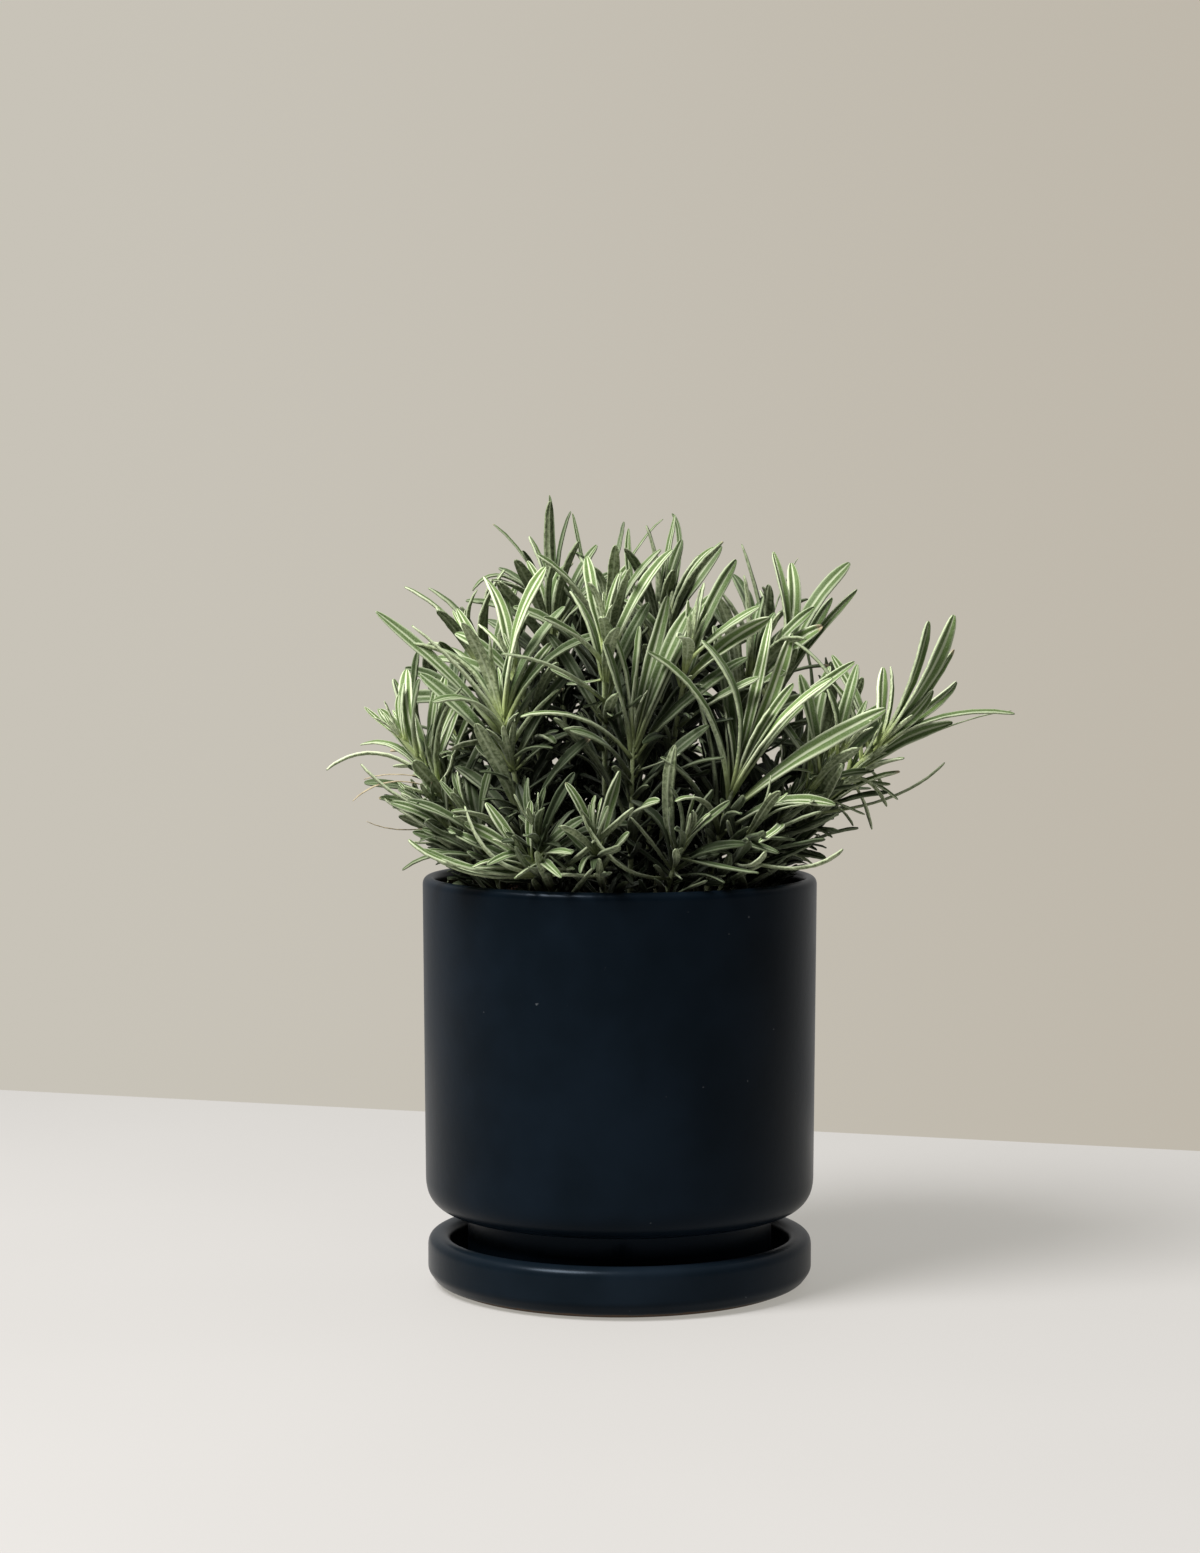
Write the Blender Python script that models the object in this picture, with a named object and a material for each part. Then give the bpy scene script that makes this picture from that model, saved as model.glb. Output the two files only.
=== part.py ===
"""A potted lavender: leafy square-stemmed shoots in soil, in a ceramic pot on its saucer.

Metres, +Z up.  The origin is the centre of the saucer's underside, -Y is the front of the
plant and +X is its right-hand side.  Bearings are in degrees about +Z: 0 is right, 90 is
back, 180 is left and 270 is front.
"""
import math
import random

import bmesh
import bpy
from mathutils import Matrix, Quaternion, Vector
from mathutils.bvhtree import BVHTree

# ---- driving dimensions --------------------------------------------------------------
FIT_GAP = 0.0003                # air between pieces that touch or nest
ROUND_STEPS = 36                # facets round every turned piece

POT_RADIUS = 0.0750             # outside, at the rim
POT_BODY_HEIGHT = 0.1277        # the wide body, from its underside to the rim
POT_TAPER = 0.0073              # radius lost for each metre down the side
POT_WALL = 0.0050
POT_FLOOR = 0.0060
POT_CORNER = 0.0110             # radius of the body's rounded lower edge
POT_FOOT_HEIGHT = 0.0232        # the narrow foot below the body
POT_FOOT_INSET = 0.0160         # how far the foot's side stands inside the body's side
POT_FOOT_RECESS = 0.0030        # hollow under the foot, inside its standing ring
POT_FOOT_RING = 0.0080          # width of the standing ring
DRAIN_RADIUS = 0.0065           # hole through the floor
NOTCH_COUNT = 3                 # gaps through the standing ring that let water out
NOTCH_WIDTH = 0.0080

SAUCER_FLOOR = 0.0050
SAUCER_HEIGHT = 0.0195
SAUCER_PLAY = 0.0064            # space between the pot's foot and the saucer's wall
SAUCER_WALL = 0.0088
SAUCER_UNDERCUT = 0.0080        # how far the flat underside stops short of the side
SAUCER_TURN = 0.0060            # height over which the underside turns up into the side
SAUCER_RIM_ROUND = 0.0036       # radius of the rim's rounded edges
SAUCER_CORNER = 0.0030          # fillet between the floor and the wall, inside

SOIL_BELOW_RIM = 0.0080
SOIL_CROWN = 0.0015             # how much higher the soil is in the middle
PLANT_DEPTH = 0.0100            # how deep a stem stands in the soil

STEM_SIDE = 0.0024              # square stem, at the soil
STEM_TIP_SIDE = 0.0015
STEM_RING_PITCH = 0.0180        # longest straight run along a curved stem
BUD_LENGTH = 0.0030
NODE_HEIGHT = 0.0016            # height of a leaf's base on its stem
LEAF_THICKNESS = 0.0011
LEAF_SCALE = 1.0                # size of all the leaves together
LEAF_CLEARANCE = 0.0005         # air kept between leaves
ROOT_MARGIN = 0.0170            # from the soil's edge to the outer shoots' stems

CROWN_CENTRE_X = 0.0050         # the dome of foliage that the shoots fill
CROWN_RADIUS = 0.1080
CROWN_HEIGHT = 0.1440           # above the pot's rim
CROWN_NECK = 0.0700             # radius of the foliage at the rim
CROWN_FLARE = 0.90              # how fast it widens above the rim

# ---- levels and radii that follow from them ------------------------------------------
FOOT_BOTTOM = SAUCER_FLOOR + FIT_GAP
BODY_BOTTOM = FOOT_BOTTOM + POT_FOOT_HEIGHT
RIM_TOP = BODY_BOTTOM + POT_BODY_HEIGHT
SOIL_TOP = RIM_TOP - SOIL_BELOW_RIM
STEM_START = SOIL_TOP + SOIL_CROWN + 0.0010
BODY_BOTTOM_RADIUS = POT_RADIUS - POT_TAPER * POT_BODY_HEIGHT
FOOT_RADIUS = BODY_BOTTOM_RADIUS - POT_FOOT_INSET
SOIL_EDGE = POT_RADIUS - POT_WALL - POT_TAPER * SOIL_BELOW_RIM - FIT_GAP
SAUCER_INNER = FOOT_RADIUS + SAUCER_PLAY
SAUCER_RADIUS = SAUCER_INNER + SAUCER_WALL

# ---- the shoots that can be told apart -------------------------------------------------
# Each has a name, its root (bearing, distance in from the outer shoots' circle), its tip
# (right, back, up, from the root at soil level), and its upper leaf pairs from the top
# down.  A pair is its distance below the stem's tip and two leaves, and a leaf is its
# tip (right, back, up, from its base), its width, and its bow as a share of its length.
MAIN_SHOOTS = [
    ("shoot_front_left", (232, 0.000), (-0.011, -0.001, 0.073), [
        (0.0012, (-0.004, -0.006, 0.027, 0.0034, 0.03), (0.003, 0.006, 0.025, 0.0030, 0.03)),
        (0.0030, (-0.017, 0.006, 0.041, 0.0042, 0.04), (0.013, -0.012, 0.055, 0.0066, 0.05)),
        (0.0048, (-0.013, -0.010, 0.042, 0.0044, 0.03), (0.014, 0.012, 0.048, 0.0068, 0.05)),
        (0.0066, (-0.029, 0.008, 0.038, 0.0050, 0.06), (0.040, -0.004, 0.038, 0.0040, 0.12)),
        (0.0084, (-0.034, -0.010, 0.038, 0.0050, 0.06), (0.016, 0.016, 0.036, 0.0044, 0.04)),
        (0.0108, (-0.025, -0.016, 0.022, 0.0062, 0.14), (0.020, 0.018, 0.030, 0.0040, 0.05)),
        (0.0150, (-0.049, 0.010, 0.050, 0.0046, 0.05), (0.018, -0.014, 0.022, 0.0034, 0.05)),
        (0.0230, (-0.035, -0.004, 0.049, 0.0062, 0.03), (0.020, 0.012, 0.036, 0.0044, 0.05)),
        (0.0390, (-0.015, -0.014, 0.034, 0.0068, 0.03), (0.014, 0.016, 0.030, 0.0044, 0.05)),
    ]),
    ("shoot_front_middle", (275, 0.008), (0.001, -0.008, 0.064), [
        (0.0012, (0.003, -0.008, 0.041, 0.0038, 0.02), (0.002, 0.006, 0.030, 0.0030, 0.03)),
        (0.0030, (0.010, 0.008, 0.057, 0.0052, 0.04), (-0.006, -0.008, 0.047, 0.0042, 0.03)),
        (0.0048, (0.016, -0.008, 0.060, 0.0058, 0.03), (-0.014, 0.006, 0.048, 0.0042, 0.04)),
        (0.0066, (0.021, 0.006, 0.059, 0.0060, 0.04), (-0.010, -0.014, 0.040, 0.0044, 0.04)),
        (0.0090, (-0.040, -0.012, 0.018, 0.0046, 0.13), (0.042, 0.010, 0.036, 0.0050, 0.08)),
        (0.0160, (-0.018, -0.014, 0.028, 0.0044, 0.06), (0.022, 0.014, 0.038, 0.0048, 0.05)),
        (0.0250, (-0.010, 0.008, 0.056, 0.0052, 0.02), (0.026, -0.008, 0.028, 0.0048, 0.06)),
    ]),
    ("shoot_front_right", (307, 0.000), (0.011, -0.006, 0.048), [
        (0.0012, (0.006, -0.006, 0.034, 0.0034, 0.03), (-0.003, 0.005, 0.028, 0.0030, 0.03)),
        (0.0030, (0.014, 0.006, 0.061, 0.0046, 0.03), (0.017, -0.009, 0.051, 0.0042, 0.03)),
        (0.0048, (0.024, 0.010, 0.057, 0.0056, 0.04), (-0.003, -0.010, 0.057, 0.0056, 0.08)),
        (0.0066, (0.034, -0.012, 0.045, 0.0050, 0.05), (-0.003, 0.012, 0.066, 0.0066, 0.04)),
        (0.0090, (0.045, 0.006, 0.051, 0.0050, 0.06), (-0.030, -0.006, 0.060, 0.0046, 0.10)),
        (0.0150, (0.058, -0.006, 0.040, 0.0064, 0.04), (-0.026, 0.006, 0.034, 0.0046, 0.06)),
        (0.0230, (0.040, -0.010, 0.018, 0.0052, 0.08), (-0.009, 0.004, 0.058, 0.0056, 0.02)),
    ]),
    ("shoot_far_right", (344, -0.002), (0.046, -0.006, 0.060), [
        (0.0012, (0.018, -0.008, 0.030, 0.0042, 0.03), (0.006, 0.008, 0.028, 0.0034, 0.03)),
        (0.0030, (0.030, 0.008, 0.036, 0.0032, 0.05), (0.021, -0.004, 0.046, 0.0050, 0.03)),
        (0.0048, (0.028, -0.006, 0.052, 0.0066, 0.04), (0.013, 0.010, 0.036, 0.0050, 0.03)),
        (0.0070, (0.055, -0.008, 0.022, 0.0032, 0.12), (-0.013, 0.006, 0.037, 0.0040, 0.05)),
        (0.0110, (0.047, 0.006, 0.040, 0.0040, 0.06), (-0.009, -0.010, 0.030, 0.0036, 0.05)),
        (0.0180, (0.038, 0.008, 0.027, 0.0046, 0.06), (-0.022, -0.008, 0.060, 0.0046, 0.18)),
        (0.0300, (0.026, -0.014, 0.018, 0.0042, 0.06), (-0.024, 0.012, 0.036, 0.0046, 0.05)),
        (0.0440, (0.035, -0.004, 0.030, 0.0034, 0.04), (-0.018, -0.016, 0.024, 0.0044, 0.06)),
    ]),
    ("shoot_far_left", (194, 0.001), (-0.023, -0.003, 0.050), [
        (0.0012, (-0.008, -0.006, 0.040, 0.0044, 0.03), (0.004, 0.006, 0.033, 0.0036, 0.03)),
        (0.0030, (-0.022, -0.005, 0.039, 0.0034, 0.06), (0.003, 0.008, 0.042, 0.0044, 0.03)),
        (0.0048, (-0.030, 0.006, 0.031, 0.0032, 0.08), (0.010, -0.010, 0.034, 0.0044, 0.04)),
        (0.0066, (-0.041, -0.006, 0.012, 0.0042, 0.12), (0.012, 0.010, 0.036, 0.0044, 0.04)),
        (0.0130, (-0.019, 0.010, 0.044, 0.0058, 0.02), (0.014, -0.008, 0.036, 0.0046, 0.04)),
        (0.0210, (-0.032, -0.006, 0.021, 0.0066, -0.12), (0.016, 0.010, 0.034, 0.0046, 0.05)),
    ]),
    ("shoot_rim_left", (246, -0.004), (-0.010, -0.007, 0.019), [
        (0.0012, (-0.015, -0.004, 0.028, 0.0050, 0.04), (0.003, -0.004, 0.023, 0.0034, 0.04)),
        (0.0030, (-0.023, -0.008, 0.023, 0.0042, 0.05), (0.018, -0.006, 0.018, 0.0040, 0.05)),
        (0.0048, (-0.030, 0.006, 0.015, 0.0042, -0.08), (0.034, -0.003, 0.021, 0.0040, 0.06)),
        (0.0066, (-0.034, -0.009, 0.008, 0.0044, -0.10), (0.014, 0.006, 0.012, 0.0034, 0.06)),
        (0.0084, (-0.043, 0.000, 0.009, 0.0054, -0.10), (0.010, -0.014, 0.010, 0.0036, 0.08)),
    ]),
    ("shoot_back_far_left", (163, 0.017), (-0.016, 0.002, 0.082), [
        (0.0012, (-0.016, 0.004, 0.041, 0.0046, 0.04), (-0.004, -0.006, 0.040, 0.0040, 0.03)),
        (0.0030, (-0.028, -0.002, 0.043, 0.0052, 0.05), (0.008, 0.008, 0.040, 0.0042, 0.04)),
        (0.0048, (-0.012, -0.010, 0.032, 0.0040, 0.05), (0.012, 0.008, 0.034, 0.0040, 0.05)),
    ]),
    ("shoot_back_left", (148, 0.036), (-0.010, 0.003, 0.105), [
        (0.0012, (-0.003, -0.006, 0.047, 0.0044, 0.03), (0.004, 0.006, 0.043, 0.0028, 0.05)),
        (0.0030, (-0.009, 0.006, 0.036, 0.0034, 0.05), (0.018, -0.006, 0.022, 0.0068, 0.04)),
        (0.0048, (-0.014, -0.008, 0.031, 0.0036, 0.05), (0.014, 0.008, 0.034, 0.0040, 0.05)),
        (0.0066, (-0.021, 0.004, 0.029, 0.0040, 0.06), (0.008, -0.012, 0.028, 0.0040, 0.05)),
    ]),
    ("shoot_back_middle", (40, 0.041), (0.005, -0.002, 0.098), [
        (0.0012, (0.007, 0.004, 0.048, 0.0028, 0.05), (0.001, -0.006, 0.044, 0.0040, 0.03)),
        (0.0030, (-0.011, 0.004, 0.045, 0.0028, -0.07), (0.006, -0.008, 0.037, 0.0066, 0.04)),
        (0.0048, (0.009, 0.008, 0.043, 0.0046, 0.03), (-0.004, -0.010, 0.032, 0.0042, 0.04)),
        (0.0066, (0.025, 0.004, 0.042, 0.0056, 0.04), (-0.028, -0.002, 0.030, 0.0044, 0.14)),
    ]),
    ("shoot_back_right", (6, 0.018), (0.025, -0.004, 0.079), [
        (0.0012, (0.000, -0.006, 0.053, 0.0044, 0.03), (0.009, 0.008, 0.051, 0.0058, 0.03)),
        (0.0030, (-0.012, 0.005, 0.057, 0.0044, 0.04), (0.024, -0.004, 0.053, 0.0066, 0.03)),
        (0.0048, (0.033, 0.004, 0.042, 0.0032, 0.05), (-0.020, -0.008, 0.040, 0.0044, 0.06)),
        (0.0066, (0.027, 0.010, 0.048, 0.0042, 0.05), (-0.030, 0.002, 0.044, 0.0050, 0.12)),
    ]),
]

# The shoots behind and between them: name, how many, distance in from the outer shoots'
# circle, first bearing, the arc that they share, lean from upright, stem length, leaf
# pairs, leaf size.  The outer ones leave the front to the shoots above.
FILL_RINGS = [
    ("shoot_inner", 6, 0.0400, 70.0, 360.0, 5.0, 0.100, 7, 1.0),
    ("shoot_middle", 9, 0.0230, 20.0, 360.0, 15.0, 0.093, 8, 1.0),
    ("shoot_outer", 9, 0.0020, -20.0, 240.0, 31.0, 0.072, 8, 1.0),
    ("shoot_low", 15, 0.0000, 24.0, 360.0, 27.0, 0.034, 6, 0.65),
]
FILL_TURN_TRY = 7.0             # step, in degrees, round the circle to a free place

# Leaf pairs made by rule, counted down from the tip of a stem.
MAIN_RULE_PAIRS = 6             # the most below a main shoot's own pairs
RULE_LENGTHS = (0.026, 0.038, 0.045, 0.048, 0.046, 0.042, 0.036, 0.030)
RULE_SPREADS = (13.0, 21.0, 29.0, 37.0, 44.0, 50.0, 54.0, 56.0)   # from the stem, in degrees
RULE_WIDTHS = (0.0032, 0.0043, 0.0050, 0.0054, 0.0054, 0.0050, 0.0046, 0.0042)
MAIN_PAIR_START = 0.0100        # below a main shoot's own pairs
MAIN_PAIR_PITCH = 0.0085
FILL_PAIR_PITCH = 0.0026        # at the tip, where the pairs are closest
PAIR_STRETCH = 0.0007           # how much the pitch grows from pair to pair, halved
FIRST_PAIR = 0.0012             # below the tip
LEAF_TRIES = 30
LOWEST_PAIR = 0.0080            # above the soil


# ---- turned pieces ---------------------------------------------------------------------
def arc(centre_r, centre_z, radius, start, end, steps):
    """Points along an arc in the outline's plane, both ends included (degrees)."""
    points = []
    for step in range(steps + 1):
        angle = math.radians(start + (end - start) * step / steps)
        points.append((centre_r + radius * math.cos(angle), centre_z + radius * math.sin(angle)))
    return points


def new_object(name, bm, material, smooth_angle):
    """Make the object that holds a finished mesh."""
    mesh = bpy.data.meshes.new(name)
    bmesh.ops.recalc_face_normals(bm, faces=bm.faces)
    bm.to_mesh(mesh)
    bm.free()
    mesh.shade_smooth()
    mesh.set_sharp_from_angle(angle=math.radians(smooth_angle))
    mesh.materials.append(material)
    piece = bpy.data.objects.new(name, mesh)
    bpy.context.collection.objects.link(piece)
    return piece


def turned(name, outline, closed, material):
    """Spin an outline of (radius, height) points round the Z axis."""
    bm = bmesh.new()
    points = [bm.verts.new((radius, 0.0, height)) for radius, height in outline]
    edges = [bm.edges.new(pair) for pair in zip(points, points[1:])]
    if closed:
        edges.append(bm.edges.new((points[-1], points[0])))
    bmesh.ops.spin(bm, geom=points + edges, cent=(0, 0, 0), axis=(0, 0, 1),
                   angle=math.tau, steps=ROUND_STEPS, use_merge=True)
    bmesh.ops.remove_doubles(bm, verts=bm.verts, dist=0.00001)
    return new_object(name, bm, material, 35)


def cut(piece, cutter):
    """Take the cutter's volume away from the piece, and keep the cutter as a hidden guide."""
    cutter.hide_render = True
    cutter.display_type = "WIRE"
    modifier = piece.modifiers.new("cut_" + cutter.name, "BOOLEAN")
    modifier.operation = "DIFFERENCE"
    modifier.solver = "EXACT"
    modifier.object = cutter


def boxes(name, placements):
    """One guide mesh of separate boxes, each given as (matrix, size)."""
    bm = bmesh.new()
    for matrix, size in placements:
        bmesh.ops.create_cube(bm, size=1.0, matrix=matrix @ Matrix.Diagonal((*size, 1.0)))
    mesh = bpy.data.meshes.new(name)
    bm.to_mesh(mesh)
    bm.free()
    guide = bpy.data.objects.new(name, mesh)
    bpy.context.collection.objects.link(guide)
    return guide


def pot_side(height):
    """The pot body's outside radius at a height."""
    return POT_RADIUS - POT_TAPER * (RIM_TOP - height)


def pot_inside(top, gap):
    """The pot's inside from a height down to the drain, drawn in by a gap."""
    ledge = BODY_BOTTOM + POT_WALL
    corner = POT_CORNER - POT_WALL
    corner_r = BODY_BOTTOM_RADIUS - POT_WALL - corner
    well = FOOT_RADIUS - POT_WALL
    floor = FOOT_BOTTOM + POT_FOOT_RECESS + POT_FLOOR
    return ([(pot_side(top) - POT_WALL - gap, top)]
            + arc(corner_r, ledge + corner, corner - gap, 0, -90, 3)
            + [(well - gap, ledge + gap), (well - gap, floor + gap)])


def make_pot(material):
    """The pot: rounded lip, tapered body, narrow foot, drain hole and drain notches."""
    lip = POT_WALL / 2
    lip_centre = POT_RADIUS - lip
    recess_top = FOOT_BOTTOM + POT_FOOT_RECESS
    floor = recess_top + POT_FLOOR
    ring_inner = FOOT_RADIUS - POT_FOOT_RING
    corner_r = BODY_BOTTOM_RADIUS - POT_CORNER
    outline = [(DRAIN_RADIUS, recess_top), (ring_inner, recess_top), (ring_inner, FOOT_BOTTOM),
               (FOOT_RADIUS, FOOT_BOTTOM), (FOOT_RADIUS, BODY_BOTTOM)]
    outline += arc(corner_r, BODY_BOTTOM + POT_CORNER, POT_CORNER, -90, 0, 4)
    outline += arc(lip_centre, RIM_TOP - lip, lip, 0, 180, 5)
    outline += pot_inside(RIM_TOP - 2 * lip, 0.0)
    outline += [(DRAIN_RADIUS, floor)]
    pot = turned("pot", outline, True, material)
    length = 2 * POT_FOOT_RING
    placements = []
    for index in range(NOTCH_COUNT):
        turn = Matrix.Rotation(math.radians(30 + 360 * index / NOTCH_COUNT), 4, "Z")
        place = Matrix.Translation((FOOT_RADIUS - POT_FOOT_RING / 2, 0, FOOT_BOTTOM))
        placements.append((turn @ place, (length, NOTCH_WIDTH, 2 * POT_FOOT_RECESS - FIT_GAP)))
    cut(pot, boxes("notch_guide", placements))
    return pot


def make_saucer(material):
    """The saucer: flat underside, side that turns up from it, rounded rim and flat floor."""
    rim = SAUCER_RIM_ROUND
    outline = [(0, 0), (SAUCER_RADIUS - SAUCER_UNDERCUT, 0),
               (SAUCER_RADIUS - 0.35 * SAUCER_UNDERCUT, 0.35 * SAUCER_TURN),
               (SAUCER_RADIUS, SAUCER_TURN)]
    outline += arc(SAUCER_RADIUS - rim, SAUCER_HEIGHT - rim, rim, 0, 90, 3)
    outline += arc(SAUCER_INNER + rim, SAUCER_HEIGHT - rim, rim, 90, 180, 3)
    outline += arc(SAUCER_INNER - SAUCER_CORNER, SAUCER_FLOOR + SAUCER_CORNER, SAUCER_CORNER,
                   0, -90, 2)
    outline += [(0, SAUCER_FLOOR)]
    return turned("saucer", outline, False, material)


def make_soil(stems, material):
    """The soil, with a square socket round each stem's buried end."""
    outline = [(0, FOOT_BOTTOM + POT_FOOT_RECESS + POT_FLOOR + FIT_GAP)]
    outline += reversed(pot_inside(SOIL_TOP, FIT_GAP))
    outline += [(SOIL_EDGE * 0.6, SOIL_TOP + SOIL_CROWN * 0.7), (0, SOIL_TOP + SOIL_CROWN)]
    soil = turned("soil", outline, False, material)
    depth = PLANT_DEPTH + FIT_GAP
    height = depth + 4 * SOIL_CROWN
    side = STEM_SIDE + 2 * FIT_GAP
    placements = []
    for stem in stems:
        centre = Vector((stem.root.x, stem.root.y, SOIL_TOP - depth + height / 2))
        turn = Matrix.Rotation(math.radians(stem.turn), 4, "Z")
        placements.append((Matrix.Translation(centre) @ turn, (side, side, height)))
    cut(soil, boxes("socket_guide", placements))
    return soil


# ---- paths and tubes ---------------------------------------------------------------------
def curve_point(ends, t):
    """A point of the curve through its first and last points, pulled by its middle one."""
    start, pull, end = ends
    return start * (1 - t) ** 2 + pull * (2 * t * (1 - t)) + end * t ** 2


def curve_direction(ends, t):
    """The curve's direction at t."""
    start, pull, end = ends
    return ((pull - start) * (1 - t) + (end - pull) * t).normalized()


def corners(centre, across, rise):
    """Four corners round a centre, in order seen from ahead of it."""
    return [centre - across - rise, centre + across - rise,
            centre + across + rise, centre - across + rise]


def tube(rings):
    """A closed tube through rings of four corners, as its points and faces."""
    points = [point for ring in rings for point in ring]
    faces = [(3, 2, 1, 0)]
    for start in range(0, len(points) - 4, 4):
        faces += ring_faces(range(start, start + 4), range(start + 4, start + 8))
    last = len(points) - 4
    faces.append((last, last + 1, last + 2, last + 3))
    return points, faces


def ring_faces(low, high):
    """The four faces between two rings of corners."""
    return [(low[k], low[(k + 1) % 4], high[(k + 1) % 4], high[k]) for k in range(4)]


class Shell:
    """A tube's surface, for testing whether two tubes meet."""

    def __init__(self, rings):
        points, faces = tube(rings)
        self.tree = BVHTree.FromPolygons(points, faces)
        self.low = Vector([min(point[axis] for point in points) for axis in range(3)])
        self.high = Vector([max(point[axis] for point in points) for axis in range(3)])

    def meets(self, other):
        for axis in range(3):
            if self.low[axis] > other.high[axis] or other.low[axis] > self.high[axis]:
                return False
        return bool(self.tree.overlap(other.tree))


# ---- stems and leaves --------------------------------------------------------------------
class Stem:
    """A square stem: upright where it is planted, then curving to its tip."""

    def __init__(self, root, tip, turn):
        self.root = root
        self.turn = turn
        start = Vector((root.x, root.y, STEM_START))
        rise = Vector((0, 0, tip.z - start.z))
        pull = start + rise * 0.55 + (tip - start - rise) * 0.38
        self.ends = (start, pull, tip)
        samples = [curve_point(self.ends, step / 40) for step in range(41)]
        self.lengths = [0.0]
        for low, high in zip(samples, samples[1:]):
            self.lengths.append(self.lengths[-1] + (high - low).length)
        self.length = self.lengths[-1]

    def share(self, down):
        """The curve's t at a distance below the tip."""
        wanted = max(self.length - down, 0.0)
        for step in range(40):
            low, high = self.lengths[step], self.lengths[step + 1]
            if wanted <= high:
                return (step + (wanted - low) / (high - low)) / 40
        return 1.0

    def place(self, down):
        """Centre, direction, the two side axes and half the side at a distance below the tip."""
        t = self.share(down)
        along = curve_direction(self.ends, t)
        first = Vector((math.cos(math.radians(self.turn)), math.sin(math.radians(self.turn)), 0))
        first = (first - along * first.dot(along)).normalized()
        half = (STEM_SIDE + (STEM_TIP_SIDE - STEM_SIDE) * t) / 2
        return curve_point(self.ends, t), along, first, along.cross(first), half

    def ring(self, down, grow=0.0):
        """The four corners of the stem at a distance below its tip."""
        centre, along, first, second, half = self.place(down)
        return corners(centre, first * (half + grow), second * (half + grow))

    def planted_rings(self, grow=0.0):
        """The corners at the buried end and where the stem leaves the soil."""
        first = Vector((math.cos(math.radians(self.turn)), math.sin(math.radians(self.turn)), 0))
        second = Vector((0, 0, 1)).cross(first)
        half = STEM_SIDE / 2 + grow
        bottom = Vector((self.root.x, self.root.y, SOIL_TOP - PLANT_DEPTH))
        return [corners(centre, first * half, second * half) for centre in (bottom, self.ends[0])]

    def shell(self, grow):
        """The stem's outside, grown all round."""
        steps = max(2, math.ceil(self.length / STEM_RING_PITCH))
        downs = [self.length * (1 - step / steps) for step in range(1, steps + 1)]
        return Shell(self.planted_rings(grow) + [self.ring(down, grow) for down in downs])


class Leaf:
    """A narrow leaf that leaves one side of a square stem."""

    STRAIGHT_BOW = 0.07         # a leaf that bows more than this gets two stations
    ONE_STATION = ((0.56, 1.00),)               # (share of the length, share of the width)
    TWO_STATIONS = ((0.36, 0.80), (0.72, 1.00))

    def __init__(self, stem, down, side, reach, width, bow, roll):
        centre, along, first, second, half = stem.place(down)
        normals = (-second, first, second, -first)
        self.out = normals[side]
        self.base = centre + self.out * half
        self.along_stem = along
        self.half = half
        direction = reach.normalized()
        lift = along - direction * along.dot(direction)
        if lift.length < 0.05:
            lift = direction * self.out.dot(direction) - self.out
        self.lift = lift.normalized()
        pull = self.base + reach * 0.5 + self.lift * (2 * bow * reach.length)
        self.ends = (self.base, pull, self.base + reach)
        self.width = width
        self.roll = roll
        self.stations = self.TWO_STATIONS if abs(bow) > self.STRAIGHT_BOW else self.ONE_STATION

    def ring(self, t, share, grow=0.0):
        """Four corners round the leaf at t, with a share of its full width."""
        along = curve_direction(self.ends, t)
        rise = (self.lift - along * self.lift.dot(along)).normalized()
        rise.rotate(Quaternion(along, self.roll * t))
        across = rise.cross(along) * (self.width * share / 2 + grow)
        return corners(curve_point(self.ends, t), across, rise * (LEAF_THICKNESS / 2 + grow))

    def shell(self, grow, start):
        """The leaf's outside, from a share of the way to its first station."""
        across = self.along_stem.cross(self.out) * (self.half + grow)
        base = corners(self.base, across, self.along_stem * (NODE_HEIGHT / 2 + grow))
        first = self.ring(*self.stations[0], grow)
        rings = [[low.lerp(high, start) for low, high in zip(base, first)]]
        rings += [self.ring(t, share, grow) for t, share in self.stations]
        rings.append(self.ring(1.0, 0.0, max(grow, 0.0001)))
        return Shell(rings)


class Shoot:
    """A stem, the leaf pairs listed for it, and how many more follow the rule."""

    def __init__(self, name, stem, listed, rule_pairs, leaf_size):
        self.name = name
        self.stem = stem
        self.listed = listed
        self.rule_pairs = rule_pairs
        self.leaf_size = leaf_size
        self.levels = []        # (distance below the tip, {side: Leaf})


class Thicket:
    """Everything placed so far, so that a new leaf can be kept clear of it."""

    def __init__(self, guards):
        self.guards = guards
        self.stems = {}
        self.leaves = []

    def stem_free(self, stem):
        shell = stem.shell(2 * LEAF_CLEARANCE)
        return not any(shell.meets(other) for other in self.stems.values())

    def add_stem(self, shoot):
        self.stems[shoot.name] = shoot.stem.shell(0.0)

    def leaf_free(self, shoot, leaf):
        whole = leaf.shell(LEAF_CLEARANCE, 0.08)
        outer = leaf.shell(LEAF_CLEARANCE, 0.35)
        if any(whole.meets(guard) for guard in self.guards):
            return False
        for name, shell in self.stems.items():
            if (outer if name == shoot.name else whole).meets(shell):
                return False
        for name, full, far in self.leaves:
            if (outer.meets(far) if name == shoot.name else whole.meets(full)):
                return False
        return True

    def add_leaf(self, shoot, leaf):
        self.leaves.append((shoot.name, leaf.shell(0.0, 0.0), leaf.shell(0.0, 0.35)))


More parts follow.
